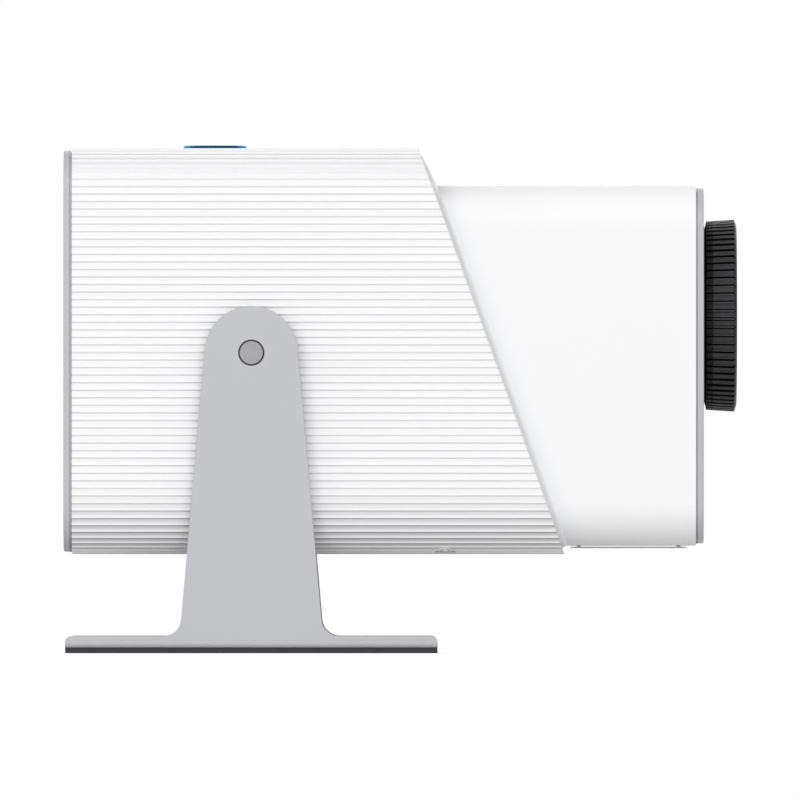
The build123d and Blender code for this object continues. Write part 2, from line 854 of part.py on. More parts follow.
with BuildPart() as front_shell:
    extrude(shell_outline, amount=shell_front)
    split(bisect_by=rim_plane, keep=Keep.TOP)
    loft([slanted_section(0, *collar_size), slanted_section(collar_edge, *collar_size)], ruled=True)
    bevel_end = slanted_section(collar_edge + collar_bevel, *shell_size)
    loft([slanted_section(collar_edge, *collar_size), bevel_end], ruled=True)
    add(between_rims(spigot_outline, -spigot_length, 0))
    add(between_rims(spigot_hollow, -spigot_length - 1, -collar_plate), mode=Mode.SUBTRACT)
    extrude(shell_hollow, amount=shell_inner_front, mode=Mode.SUBTRACT)
    front_wall = (shell_inner_front, shell_front)
    disc_along_x(front_wall, mount_radius + slip, 0, lens_height, Mode.SUBTRACT)
    disc_along_x(front_wall, infrared_radius + slip, infrared_y, infrared_z, Mode.SUBTRACT)
    hatch_across = (-hatch_half_width, hatch_half_width)
    block((hatch_start, hatch_end), hatch_across, (shell_bottom, shell_floor), mode=Mode.SUBTRACT)
    shelf_width = (-intake_half / 2, intake_half / 2)
    shelf_up = (shell_floor, intake_fan_foot)
    block((cover_start, hatch_start), shelf_width, shelf_up)
    block((hatch_end, cover_end), shelf_width, shelf_up)
    with Locations(cross_plane(shell_inner_front, 0, lens_height)):
        with PolarLocations(mount_screw_circle, 4, start_angle=45):
            Cylinder(small_screw_hole, shell_wall - root, align=UPRIGHT, mode=Mode.SUBTRACT)
save(front_shell, "front_shell")

with BuildPart() as front_panel:
    panel_size = (shell_width - 2 * plate_inset, shell_height - 2 * plate_inset)
    panel_plane = cross_plane(panel_back, 0, shell_mid)
    panel_radius = shell_corner_radius - plate_inset
    extrude(rounded_outline(panel_plane, *panel_size, panel_radius), amount=plate_thickness)
    fillet(front_panel.faces().sort_by(Axis.X)[-1].edges(), plate_edge_radius)
    step_size = [size - 2 * shadow_gap_depth for size in panel_size]
    step_radius = panel_radius - shadow_gap_depth
    extrude(rounded_outline(panel_plane, *step_size, step_radius), amount=-front_shadow_gap)
    disc_along_x((shell_front, panel_front), mount_radius + slip, 0, lens_height, Mode.SUBTRACT)
    disc_along_x((shell_front, panel_front), infrared_radius + slip, infrared_y, infrared_z, Mode.SUBTRACT)
save(front_panel, "front_panel")

with BuildPart() as service_cover:
    cover_across = (-cover_width / 2, cover_width / 2)
    slit_foot = shell_bottom - cover_slit
    block((cover_start, cover_end), cover_across, (shell_bottom - cover_proud, slit_foot))
    fillet(service_cover.edges().filter_by(Axis.Z), cover_corner)
    chamfer(service_cover.faces().sort_by(Axis.Z)[0].edges(), cover_edge)
    plug_half_width = hatch_half_width - slip
    plug_across = (-plug_half_width, plug_half_width)
    block((hatch_start + slip, hatch_end - slip), plug_across, (shell_bottom, plug_top))
    for plug_end, inner in ((hatch_start + slip, 1), (hatch_end - slip, -1)):
        rib_along = sorted((plug_end, plug_end + inner * cover_rib_width))
        block(rib_along, plug_across, (slit_foot, shell_bottom))
    with BuildSketch(Plane.XY.offset(shell_bottom - cover_proud)):
        with Locations((intake_x, 0)):
            with GridLocations(cover_slot_pitch, 0, cover_slots, 1):
                SlotOverall(cover_slot_length, cover_slot, rotation=90)
    extrude(amount=cover_proud + cover_plug, mode=Mode.SUBTRACT)
save(service_cover, "service_cover")

with BuildPart() as dust_filter:
    block(
        (hatch_start + filter_inset, hatch_end - filter_inset),
        (-hatch_half_width + filter_inset, hatch_half_width - filter_inset),
        (plug_top, filter_top),
    )
save(dust_filter, "dust_filter")

# ---------------------------------------------------------------- rear cover with its grilles and openings
socket_face = cover_plate_back + socket_setback
speaker_z = pivot_height - speaker_drop
sockets = {
    "power_inlet": (inlet_y, inlet_mouth),
    "hdmi_socket": (hdmi_y, hdmi_mouth),
    "usb_socket": (usb_y, usb_mouth),
    "audio_jack": (jack_y, jack_body),
}
screw_corners = [(across, up) for across in (-1, 1) for up in (-1, 1)]
fan_rear = sleeve_rear + fan_wall_gap


def hole_ring_points(pitch, rings):
    """Evenly spaced points on rings round a centre point."""
    points = [(0, 0)]
    for ring in range(1, rings + 1):
        for number in range(6 * ring):
            turn = math.radians(60 * number / ring)
            points.append((ring * pitch * math.cos(turn), ring * pitch * math.sin(turn)))
    return points


with BuildPart() as rear_cover:
    outer_plane = cross_plane(cover_plate_back, 0, head_mid)
    cover_size = (head_width - 2 * plate_inset, head_height - 2 * plate_inset)
    cover_radius = head_corner_radius - plate_inset
    extrude(rounded_outline(outer_plane, *cover_size, cover_radius), amount=plate_thickness)
    fillet(rear_cover.faces().sort_by(Axis.X)[0].edges(), plate_edge_radius)
    step_size = [size - 2 * shadow_gap_depth for size in cover_size]
    step_radius = cover_radius - shadow_gap_depth
    step_plane = cross_plane(cover_plate_front, 0, head_mid)
    extrude(rounded_outline(step_plane, *step_size, step_radius), amount=rear_shadow_gap)
    at_the_rear = Location((sleeve_rear, 0, 0))
    extrude(spigot_outline.moved(at_the_rear), amount=rear_spigot_length)
    extrude(spigot_hollow.moved(at_the_rear), amount=rear_spigot_length, mode=Mode.SUBTRACT)
    for across in (-1, 1):
        for up in (-1, 1):
            pad_y = across * (fan_size / 2 - fan_pad_inset)
            pad_z = lens_height + up * (fan_size / 2 - fan_pad_inset)
            disc_along_x((sleeve_rear, fan_rear), fan_pad_radius, pad_y, pad_z)
    with BuildSketch(cross_plane(cover_plate_back, 0, lens_height)):
        rows = int((grille_radius - grille_border) / grille_slot_pitch)
        for row in range(-rows, rows + 1):
            height = row * grille_slot_pitch
            half = math.sqrt(grille_radius**2 - height**2) - grille_border
            for across in (-1, 1):
                with Locations((across * (half + grille_spine / 2) / 2, height)):
                    Rectangle(half - grille_spine / 2, grille_slot)
    extrude(amount=plate_thickness + rear_shadow_gap, mode=Mode.SUBTRACT)
    for side in SIDES.values():
        with BuildSketch(cross_plane(cover_plate_back, side * speaker_y, speaker_z)):
            with Locations(*hole_ring_points(speaker_hole_pitch, speaker_hole_rings)):
                Circle(speaker_hole_radius)
        extrude(amount=plate_thickness + rear_shadow_gap, mode=Mode.SUBTRACT)
    for place, (width, height, depth) in sockets.values():
        surround = socket_wall + socket_slip
        block(
            (cover_plate_back, sleeve_rear),
            (place - width / 2 - surround, place + width / 2 + surround),
            (board_top - socket_slip, board_top + height + socket_wall + surround),
            mode=Mode.SUBTRACT,
        )
    for across, up in screw_corners:
        y = across * cover_screw_y
        z = head_mid + up * cover_screw_z
        head_seat = cover_plate_back + screw_head
        disc_along_x((cover_plate_back, head_seat), screw_head_radius + slip, y, z, Mode.SUBTRACT)
        disc_along_x((cover_plate_back, sleeve_rear), screw_hole, y, z, Mode.SUBTRACT)
save(rear_cover, "rear_cover")


def screws(plane, points, shank, length, head, thickness):
    """Pan-head screws: each head's underside lies on a point of the plane, with its shank along the normal."""
    with BuildPart() as set_of_screws:
        for point in points:
            with Locations(plane.location * Location((*point, 0))):
                Cylinder(shank, length, align=UPRIGHT)
                Cylinder(head, thickness, align=HANGING)
                with Locations((0, 0, -thickness)):
                    Box(head * 1.3, thickness * 0.35, thickness * 0.5, align=UPRIGHT, mode=Mode.SUBTRACT)
                    Box(thickness * 0.35, head * 1.3, thickness * 0.5, align=UPRIGHT, mode=Mode.SUBTRACT)
    return set_of_screws.part


with BuildPart() as rear_cover_screws:
    seat = cross_plane(cover_plate_back + screw_head, 0, head_mid)
    corners = [(across * cover_screw_y, up * cover_screw_z) for across, up in screw_corners]
    add(screws(seat, corners, screw_radius, cover_screw_length, screw_head_radius, screw_head))
save(rear_cover_screws, "rear_cover_screws")

# ---------------------------------------------------------------- power button
with BuildPart() as button_ring:
    ring_top = head_top + button_proud
    post(button_x, 0, (button_ring_foot, ring_top), button_ring_radius)
    chamfer(button_ring.faces().sort_by(Axis.Z)[-1].edges(), 0.3)
    post(button_x, 0, (button_ring_foot, sleeve_ceiling), button_flange_radius)
    post(button_x, 0, (button_ring_foot, ring_top), button_bore, mode=Mode.SUBTRACT)
save(button_ring, "button_ring")

with BuildPart() as power_button_cap:
    cap_top = ring_top - 0.05
    post(button_x, 0, (cap_lip_foot, cap_lip_top), cap_radius + button_cap_lip)
    post(button_x, 0, (cap_lip_foot, cap_top), cap_radius)
    chamfer(power_button_cap.faces().sort_by(Axis.Z)[-1].edges(), 0.3)
    post(button_x, 0, (stem_foot, cap_lip_foot), button_stem_radius)
    dish_radius = ((cap_radius - 1) ** 2 + button_dish_depth**2) / (2 * button_dish_depth)
    with Locations((button_x, 0, cap_top - button_dish_depth + dish_radius)):
        Sphere(dish_radius, mode=Mode.SUBTRACT)
save(power_button_cap, "power_button_cap")

with BuildPart() as button_board:
    half_length = button_board_length / 2
    half_width = button_board_width / 2
    board_under = button_board_top - board_thickness
    half_switch = switch_size / 2
    board_along = (button_x - half_length, button_x + half_length)
    switch_along = (button_x - half_switch, button_x + half_switch)
    block(board_along, (-half_width, half_width), (board_under, button_board_top))
    block(switch_along, (-half_switch, half_switch), (button_board_top, switch_top))
    for end in (-1, 1):
        x = button_x + end * button_post_spacing / 2
        post(x, 0, (board_under, button_board_top), small_screw_hole, mode=Mode.SUBTRACT)
save(button_board, "button_board")

# ---------------------------------------------------------------- lens mount and focusing parts
with BuildPart() as lens_mount:
    add(
        turned(
            lens_plane,
            [
                (guide_front, clip_radius + clip_clearance),
                (guide_front, mount_rear_radius),
                (mount_flange_rear, mount_rear_radius),
                (mount_flange_rear, mount_flange_radius),
                (shell_inner_front, mount_flange_radius),
                (shell_inner_front, mount_radius),
                (ring_rear - seat_gap, mount_radius),
                (ring_rear - seat_gap, mount_bore),
                (hub_step + seat_gap, mount_bore),
                (hub_step + seat_gap, clip_radius + clip_clearance),
            ],
        )
    )
    with Locations(cross_plane(mount_flange_rear, 0, lens_height)):
        with PolarLocations(mount_screw_circle, 4, start_angle=45):
            Cylinder(small_screw_hole, mount_flange_thickness, align=UPRIGHT, mode=Mode.SUBTRACT)
    guide_screw_depth = guide_screw_length - guide_length + screw_hole_spare
    with Locations(cross_plane(guide_front, 0, lens_height)):
        with PolarLocations(guide_screw_circle, 3, start_angle=90):
            Cylinder(small_screw_hole, guide_screw_depth, align=UPRIGHT, mode=Mode.SUBTRACT)
save(lens_mount, "lens_mount")

with BuildPart() as lens_guide:
    disc_along_x((guide_rear, guide_front), mount_rear_radius, 0, lens_height)
    disc_along_x((guide_rear, guide_front), barrel_radius + running, 0, lens_height, Mode.SUBTRACT)
    slot_reach = barrel_radius + key_height + key_slip
    slot_half = key_width / 2 + key_slip
    slot_up = (lens_height - slot_half, lens_height + slot_half)
    block((guide_rear, guide_front), (-slot_reach, slot_reach), slot_up, mode=Mode.SUBTRACT)
    with Locations(cross_plane(guide_rear, 0, lens_height)):
        with PolarLocations(guide_screw_circle, 3, start_angle=90):
            Cylinder(small_screw_hole, guide_length, align=UPRIGHT, mode=Mode.SUBTRACT)
save(lens_guide, "lens_guide")


def circle_points(radius, count, start):
    """Points spaced evenly round a circle, from a starting angle in degrees."""
    turns = [math.radians(start + 360 * number / count) for number in range(count)]
    return [(radius * math.cos(turn), radius * math.sin(turn)) for turn in turns]


small_head = (small_screw_head_radius, small_screw_head)
with BuildPart() as lens_screws:
    flange_seat = cross_plane(mount_flange_rear, 0, lens_height)
    flange_points = circle_points(mount_screw_circle, 4, 45)
    add(screws(flange_seat, flange_points, small_screw_radius, mount_screw_length, *small_head))
    guide_seat = cross_plane(guide_rear, 0, lens_height)
    guide_points = circle_points(guide_screw_circle, 3, 90)
    add(screws(guide_seat, guide_points, small_screw_radius, guide_screw_length, *small_head))
save(lens_screws, "lens_screws")


def toothed_outline(x, radius):
    """The focus ring's grip in section: wide teeth with narrow grooves between them."""
    pitch = 2 * math.pi / ring_teeth
    half_tooth = pitch * ring_tooth_share / 2
    half_floor = pitch * (1 - ring_tooth_share) / 4
    points = []
    for tooth in range(ring_teeth):
        middle = tooth * pitch
        floor = middle + pitch / 2
        points.append((radius, middle - half_tooth))
        points.append((radius, middle + half_tooth))
        points.append((radius - ring_groove_depth, floor - half_floor))
        points.append((radius - ring_groove_depth, floor + half_floor))
    with BuildSketch(cross_plane(x, 0, lens_height)) as outline:
        corners = [(reach * math.cos(turn), reach * math.sin(turn)) for reach, turn in points]
        with BuildLine():
            Polyline(*corners, close=True)
        make_face()
    return outline.sketch


with BuildPart() as focus_ring:
    rear_teeth = toothed_outline(ring_rear, ring_rear_radius)
    front_teeth = toothed_outline(ring_front, ring_front_radius)
    loft([rear_teeth, front_teeth], ruled=True)
    rear_step, rear_drop = ring_rear_chamfer
    front_step, front_drop = ring_front_chamfer
    add(
        turned(
            lens_plane,
            [
                (ring_rear, 0),
                (ring_rear, ring_rear_radius - rear_drop),
                (ring_rear + rear_step, ring_rear_radius + ring_flare),
                (ring_front - front_step, ring_front_radius + ring_flare),
                (ring_front, ring_front_radius - front_drop),
                (ring_front, 0),
            ],
        ),
        mode=Mode.INTERSECT,
    )
    disc_along_x((hub_step, ring_rear), hub_radius, 0, lens_height)
    disc_along_x((hub_rear, hub_step), hub_radius - hub_end_step, 0, lens_height)
    ring_mouth = (ring_front - ring_mouth_depth, ring_front)
    disc_along_x(ring_mouth, ring_mouth_radius, 0, lens_height, Mode.SUBTRACT)
    disc_along_x((hub_rear, ring_front), barrel_radius + ring_clearance, 0, lens_height, Mode.SUBTRACT)
save(focus_ring, "focus_ring")

with BuildPart() as ring_clip:
    disc_along_x((hub_step - clip_thickness, hub_step), clip_radius, 0, lens_height)
    clip_bore = hub_radius - hub_end_step
    disc_along_x((hub_step - clip_thickness, hub_step), clip_bore, 0, lens_height, Mode.SUBTRACT)
save(ring_clip, "ring_clip")

front_seat = lens_front - front_seat_setback
middle_seat = front_seat - middle_seat_setback
rear_seat = middle_seat - rear_seat_setback
front_bore = barrel_radius - barrel_wall
middle_bore = front_bore - seat_width
stop_bore = middle_bore - seat_width
rear_bore = stop_bore + rear_seat_width

with BuildPart() as lens_barrel:
    add(
        turned(
            lens_plane,
            [
                (barrel_rear, rear_bore),
                (barrel_rear, barrel_radius),
                (lens_front, barrel_radius),
                (lens_front, front_bore),
                (front_seat, front_bore),
                (front_seat, middle_bore),
                (middle_seat, middle_bore),
                (middle_seat, stop_bore),
                (rear_seat, stop_bore),
                (rear_seat, rear_bore),
            ],
        )
    )
    key_middle = (guide_rear + guide_front) / 2
    for side in SIDES.values():
        block(
            (key_middle - key_length / 2, key_middle + key_length / 2),
            sorted((side * (barrel_radius - 0.5), side * (barrel_radius + key_height))),
            (lens_height - key_width / 2, lens_height + key_width / 2),
        )
save(lens_barrel, "lens_barrel")


def bulge(curve, radius):
    """How far a spherical face rises between a radius and its middle."""
    return curve - math.sqrt(curve**2 - radius**2)


def lens_element(rear, front, radius, rear_curve, front_curve):
    """A glass lens that bulges both ways inside its flat rim."""
    clear = radius - lens_rim
    rear_pole = rear - bulge(rear_curve, clear)
    front_pole = front + bulge(front_curve, clear)
    rear_middle = rear_pole + bulge(rear_curve, clear / 2)
    front_middle = front_pole - bulge(front_curve, clear / 2)
    with BuildPart() as element:
        with BuildSketch(lens_plane):
            with BuildLine():
                Line((rear_pole, 0), (front_pole, 0))
                ThreePointArc((front_pole, 0), (front_middle, clear / 2), (front, clear))
                Polyline((front, clear), (front, radius), (rear, radius), (rear, clear))
                ThreePointArc((rear, clear), (rear_middle, clear / 2), (rear_pole, 0))
            make_face()
        revolve(axis=Axis(lens_plane.origin, lens_plane.x_dir))
    return element.part


front_radius = front_bore - lens_slip
middle_radius = middle_bore - lens_slip
rear_radius = rear_bore - lens_slip
front_curves = (front_lens_back_curve, front_lens_curve)
with BuildPart() as front_lens:
    add(lens_element(front_seat, front_seat + front_lens_edge, front_radius, *front_curves))
save(front_lens, "front_lens")

with BuildPart() as middle_lens:
    middle_front = middle_seat + middle_lens_edge
    add(lens_element(middle_seat, middle_front, middle_radius, middle_lens_curve, middle_lens_curve))
save(middle_lens, "middle_lens")

with BuildPart() as rear_lens:
    add(lens_element(rear_seat - rear_lens_edge, rear_seat, rear_radius, rear_lens_curve, rear_lens_curve))
save(rear_lens, "rear_lens")

with BuildPart() as lens_retainers:
    front_lens_rim = front_seat + front_lens_edge
    rear_lens_rim = rear_seat - rear_lens_edge
    for reach, radius in (
        ((front_lens_rim, front_lens_rim + retainer_thickness), front_radius),
        ((middle_front, front_seat - spacer_relief), middle_radius),
        ((rear_lens_rim - retainer_thickness, rear_lens_rim), rear_radius),
    ):
        disc_along_x(reach, radius, 0, lens_height)
        disc_along_x(reach, radius - retainer_width, 0, lens_height, Mode.SUBTRACT)
save(lens_retainers, "lens_retainers")

# ---------------------------------------------------------------- infrared window
with BuildPart() as infrared_window:
    window_front = panel_front - infrared_setback
    window_rear = window_front - infrared_length
    flange_radius = infrared_radius + infrared_flange
    disc_along_x((window_rear, window_front), infrared_radius, infrared_y, infrared_z)
    fillet(infrared_window.faces().sort_by(Axis.X)[-1].edges(), infrared_dome)
    disc_along_x((window_rear, shell_inner_front), flange_radius, infrared_y, infrared_z)
save(infrared_window, "infrared_window")

# ---------------------------------------------------------------- optical engine
engine_floor = engine_bottom + engine_wall
engine_cover_foot = engine_bottom + engine_height - engine_wall
engine_top = engine_bottom + engine_height
engine_half = engine_width / 2
optic_half_width = engine_inner_width / 2 - optic_slip
optic_top = engine_cover_foot - optic_slip
optics = {
    "heat_glass": (heat_glass_at, heat_glass_thickness),
    "rear_fresnel": (rear_fresnel_at, fresnel_thickness),
    "lcd_panel": (panel_at, panel_thickness),
    "front_fresnel": (front_fresnel_at, fresnel_thickness),
}
ear_points = [
    (engine_rear + along, side * (engine_half + engine_ear_hole))
    for along in (engine_ear_rear, engine_ear_front)
    for side in (-1, 1)
]

with BuildPart() as engine_housing:
    block((engine_rear, engine_front), (-engine_half, engine_half), (engine_bottom, engine_cover_foot))
    fillet(engine_housing.edges().filter_by(Axis.Z), engine_corner)
    inside_across = (-engine_inner_width / 2, engine_inner_width / 2)
    inside_along = (engine_rear + engine_wall, engine_front - engine_wall)
    block(inside_along, inside_across, (engine_floor, engine_cover_foot), mode=Mode.SUBTRACT)
    for place, thickness in optics.values():
        start = engine_rear + place
        for rail in (start - optic_slip - rail_thickness, start + thickness + optic_slip):
            rail_up = (engine_floor - root, engine_floor + rail_height)
            block((rail, rail + rail_thickness), inside_across, rail_up)
    half_opening = engine_led_opening / 2
    block(
        (engine_rear, engine_rear + engine_wall),
        (-half_opening, half_opening),
        (lens_height - half_opening, lens_height + half_opening),
        mode=Mode.SUBTRACT,
    )
    front_wall = (engine_front - engine_wall, engine_front)
    disc_along_x(front_wall, engine_front_opening_radius, 0, lens_height, Mode.SUBTRACT)
    for x, y in ear_points:
        ear_end = math.copysign(engine_half + engine_ear_length, y)
        ear_root = math.copysign(engine_half - root, y)
        ear_up = (engine_bottom, engine_bottom + engine_ear_thickness)
        block((x - column_radius, x + column_radius), sorted((ear_root, ear_end)), ear_up)
        post(x, y, ear_up, screw_hole, mode=Mode.SUBTRACT)
save(engine_housing, "engine_housing")

with BuildPart() as engine_cover:
    block((engine_rear, engine_front), (-engine_half, engine_half), (engine_cover_foot, engine_top))
    fillet(engine_cover.edges().filter_by(Axis.Z), engine_corner)
    fillet(engine_cover.faces().sort_by(Axis.Z)[-1].edges(), engine_cover_edge)
save(engine_cover, "engine_cover")

ear_top = Plane(origin=(0, 0, engine_bottom + engine_ear_thickness), x_dir=(1, 0, 0), z_dir=(0, 0, -1))
big_head = (screw_head_radius, screw_head)
with BuildPart() as engine_screws:
    ear_screws = [(x, -y) for x, y in ear_points]
    add(screws(ear_top, ear_screws, screw_radius, engine_screw_length, *big_head))
save(engine_screws, "engine_screws")

for name, (place, thickness) in optics.items():
    with BuildPart() as optic:
        start = engine_rear + place
        block((start, start + thickness), (-optic_half_width, optic_half_width), (engine_floor, optic_top))
        if name == "lcd_panel":
            window_across = (panel_border - optic_half_width, optic_half_width - panel_border)
            window_up = (engine_floor + panel_border, optic_top - panel_border)
            for near in (start, start + thickness - panel_recess):
                block((near, near + panel_recess), window_across, window_up, mode=Mode.SUBTRACT)
    save(optic, name)

with BuildPart() as light_cone:
    throat_x = engine_rear + engine_wall + seat_gap
    mouth_x = engine_rear + heat_glass_at - 2 * rail_thickness - cone_flange
    flange_size = (2 * optic_half_width, optic_top - engine_floor)
    mouth_size = [size - 2 * cone_margin for size in flange_size]
    cone_middle = (engine_floor + optic_top) / 2
    with BuildSketch(cross_plane(throat_x, 0, lens_height)):
        Rectangle(cone_throat, cone_throat)
    with BuildSketch(cross_plane(mouth_x, 0, cone_middle)):
        Rectangle(*mouth_size)
    loft(ruled=True)
    with BuildSketch(cross_plane(mouth_x, 0, cone_middle)):
        Rectangle(*flange_size)
    extrude(amount=cone_flange)
    with BuildSketch(cross_plane(throat_x, 0, lens_height)) as throat:
        Rectangle(cone_throat - 2 * cone_wall, cone_throat - 2 * cone_wall)
    with BuildSketch(cross_plane(mouth_x + cone_flange, 0, cone_middle)) as mouth:
        Rectangle(mouth_size[0] - 2 * cone_wall, mouth_size[1] - 2 * cone_wall)
    loft([throat.sketch, mouth.sketch], ruled=True, mode=Mode.SUBTRACT)
save(light_cone, "light_cone")

led_plate_rear = engine_rear - led_plate_thickness
sink_front = led_plate_rear
sink_base_rear = sink_front - sink_base
with BuildPart() as led_module:
    half_plate = led_plate_size / 2
    half_chip = led_chip_size / 2
    plate_up = (lens_height - half_plate, lens_height + half_plate)
    chip_up = (lens_height - half_chip, lens_height + half_chip)
    block((led_plate_rear, engine_rear), (-half_plate, half_plate), plate_up)
    block((engine_rear, engine_rear + led_chip_thickness), (-half_chip, half_chip), chip_up)
save(led_module, "led_module")

with BuildPart() as led_heatsink:
    sink_up = (lens_height - sink_height / 2, lens_height + sink_height / 2)
    block((sink_base_rear, sink_front), (-sink_width / 2, sink_width / 2), sink_up)
    fin_pitch = (sink_width - sink_fin_thickness) / (sink_fins - 1)
    with Locations((sink_base_rear - sink_fin_length / 2, 0, lens_height)):
        with GridLocations(1, fin_pitch, 1, sink_fins):
            Box(sink_fin_length, sink_fin_thickness, sink_height)
save(led_heatsink, "led_heatsink")


# ---------------------------------------------------------------- fans
def fan_frame(facing, size, depth, hub_radius):
    """A square fan frame: its back plate carries the axle on four struts, and its front is open."""
    with BuildPart() as frame:
        with BuildSketch(facing):
            RectangleRounded(size, size, fan_corner)
            Circle(size / 2 - fan_rim, mode=Mode.SUBTRACT)
            with GridLocations(size - 2 * fan_corner, size - 2 * fan_corner, 2, 2):
                Circle(screw_radius, mode=Mode.SUBTRACT)
        extrude(amount=depth)
        with BuildSketch(facing):
            Circle(hub_radius)
            Rectangle(size - fan_rim, fan_strut)
            Rectangle(fan_strut, size - fan_rim)
        extrude(amount=fan_plate)
        with Locations(facing.offset(fan_plate)):
            Cylinder(fan_axle_radius, depth * fan_hub_share - fan_plate, align=UPRIGHT)
    return frame.part


def fan_rotor(facing, size, depth, hub_radius):
    """A fan's hub and blades, turning on the axle of its frame."""
    hub_start = fan_plate + fan_plate_gap
    hub_length = depth * fan_hub_share - hub_start + fan_hub_nose
    pitch = math.radians(blade_pitch_angle)
    chord = (hub_length - fan_hub_nose) / math.cos(pitch) - blade_thickness * math.tan(pitch)
    blade_root = hub_radius - 2 * root
    blade_tip = size / 2 - fan_rim - fan_blade_clearance
    with BuildPart() as rotor:
        with Locations(facing.offset(hub_start)):
            Cylinder(hub_radius, hub_length, align=UPRIGHT)
            Cylinder(fan_axle_radius + running, hub_length, align=UPRIGHT, mode=Mode.SUBTRACT)
        middle = facing.offset(hub_start + hub_length / 2)
        for number in range(fan_blades):
            turn = 2 * math.pi * number / fan_blades
            outwards = middle.x_dir * math.cos(turn) + middle.y_dir * math.sin(turn)
            around = middle.y_dir * math.cos(turn) - middle.x_dir * math.sin(turn)
            tilted = around * math.cos(pitch) + middle.z_dir * math.sin(pitch)
            centre = middle.origin + outwards * ((blade_root + blade_tip) / 2)
            with Locations(Plane(origin=centre, x_dir=outwards, z_dir=tilted)):
                Box(blade_tip - blade_root, chord, blade_thickness)
    return rotor.part


exhaust_plane = cross_plane(fan_rear, 0, lens_height)
intake_plane = Plane(origin=(intake_x, 0, intake_fan_foot), x_dir=(1, 0, 0), z_dir=(0, 0, 1))
for name, facing, size, depth, hub_radius in (
    ("exhaust_fan", exhaust_plane, fan_size, fan_depth, fan_hub_radius),
    ("intake_fan", intake_plane, intake_fan_size, intake_fan_depth, intake_fan_hub_radius),
):
    with BuildPart() as frame:
        add(fan_frame(facing, size, depth, hub_radius))
    save(frame, f"{name}_frame")
    with BuildPart() as rotor:
        add(fan_rotor(facing, size, depth, hub_radius))
    save(rotor, f"{name}_rotor")

# ---------------------------------------------------------------- tray and boards
main_middle = (main_board_rear + main_board_front) / 2
power_middle = (power_board_rear + power_board_front) / 2
board_points = [
    (middle + end * length * standoff_spread, side * (board_half_width - standoff_inset))
    for middle, length in ((main_middle, main_board_length), (power_middle, power_board_length))
    for end in (-1, 1)
    for side in (-1, 1)
]
foot_points = [(foot_screw_x, side * foot_screw_y) for side in (-1, 1)]
board_screw_bore = (board_top - board_screw_length - screw_hole_spare, board_bottom)
column_bore = (engine_bottom + engine_ear_thickness - engine_screw_length - screw_hole_spare, engine_bottom)
tray_foot_top = tray_top + tray_foot_rise

with BuildPart() as chassis_tray:
    block((tray_rear, tray_front), (-tray_half_width, tray_half_width), (tray_bottom, tray_top))
    wings_across = (-tray_wing_half_width, tray_wing_half_width)
    block((tray_wing_rear, tray_front), wings_across, (tray_bottom, tray_top))
    for x, y in board_points:
        post(x, y, (tray_top, board_bottom), standoff_radius)
        post(x, y, board_screw_bore, screw_hole, mode=Mode.SUBTRACT)
    for x, y in ear_points:
        post(x, y, (tray_top, engine_bottom), column_radius)
        post(x, y, column_bore, screw_hole, mode=Mode.SUBTRACT)
    for x, y in foot_points:
        post(x, y, (foot_boss_top, tray_foot_top), tray_foot_radius)
        post(x, y, (foot_boss_top, tray_foot_top), screw_hole, mode=Mode.SUBTRACT)
    for side in (-1, 1):
        post(tray_rear + tray_leg_setback, side * tray_leg_y, (sleeve_floor, tray_bottom), tray_leg_radius)
save(chassis_tray, "chassis_tray")

with BuildPart() as foot_screws:
    add(screws(Plane.XY.offset(foot_seat), foot_points, screw_radius, foot_screw_length, *big_head))
save(foot_screws, "foot_screws")

for name, rear, front in (
    ("main_board", main_board_rear, main_board_front),
    ("power_board", power_board_rear, power_board_front),
):
    with BuildPart() as board:
        block((rear, front), (-board_half_width, board_half_width), (board_bottom, board_top))
        for x, y in board_points:
            if rear < x < front:
                post(x, y, (board_bottom, board_top), screw_hole, mode=Mode.SUBTRACT)
    save(board, name)

with BuildPart() as board_screws:
    board_face = Plane(origin=(0, 0, board_top), x_dir=(1, 0, 0), z_dir=(0, 0, -1))
    points = [(x, -y) for x, y in board_points]
    add(screws(board_face, points, screw_radius, board_screw_length, *big_head))
save(board_screws, "board_screws")

with BuildPart() as processor_heatsink:
    length, width, height = processor_sink
    with Locations((main_middle + processor_offset, 0, board_top)):
        Box(length, width, processor_sink_base, align=UPRIGHT)
        fin_pitch = (width - processor_sink_fin) / (processor_sink_fins - 1)
        with GridLocations(0, fin_pitch, 1, processor_sink_fins):
            Box(length, processor_sink_fin, height, align=UPRIGHT)
save(processor_heatsink, "processor_heatsink")

with BuildPart() as power_parts:
    for x, y in capacitor_points:
        post(power_middle + x, y, (board_top, board_top + capacitor_height), capacitor_radius)
    fillet(power_parts.edges().filter_by(GeomType.CIRCLE), capacitor_edge)
    length, width, height = transformer
    with Locations((power_middle, transformer_y, board_top)):
        Box(length, width, height, align=UPRIGHT)
save(power_parts, "power_parts")

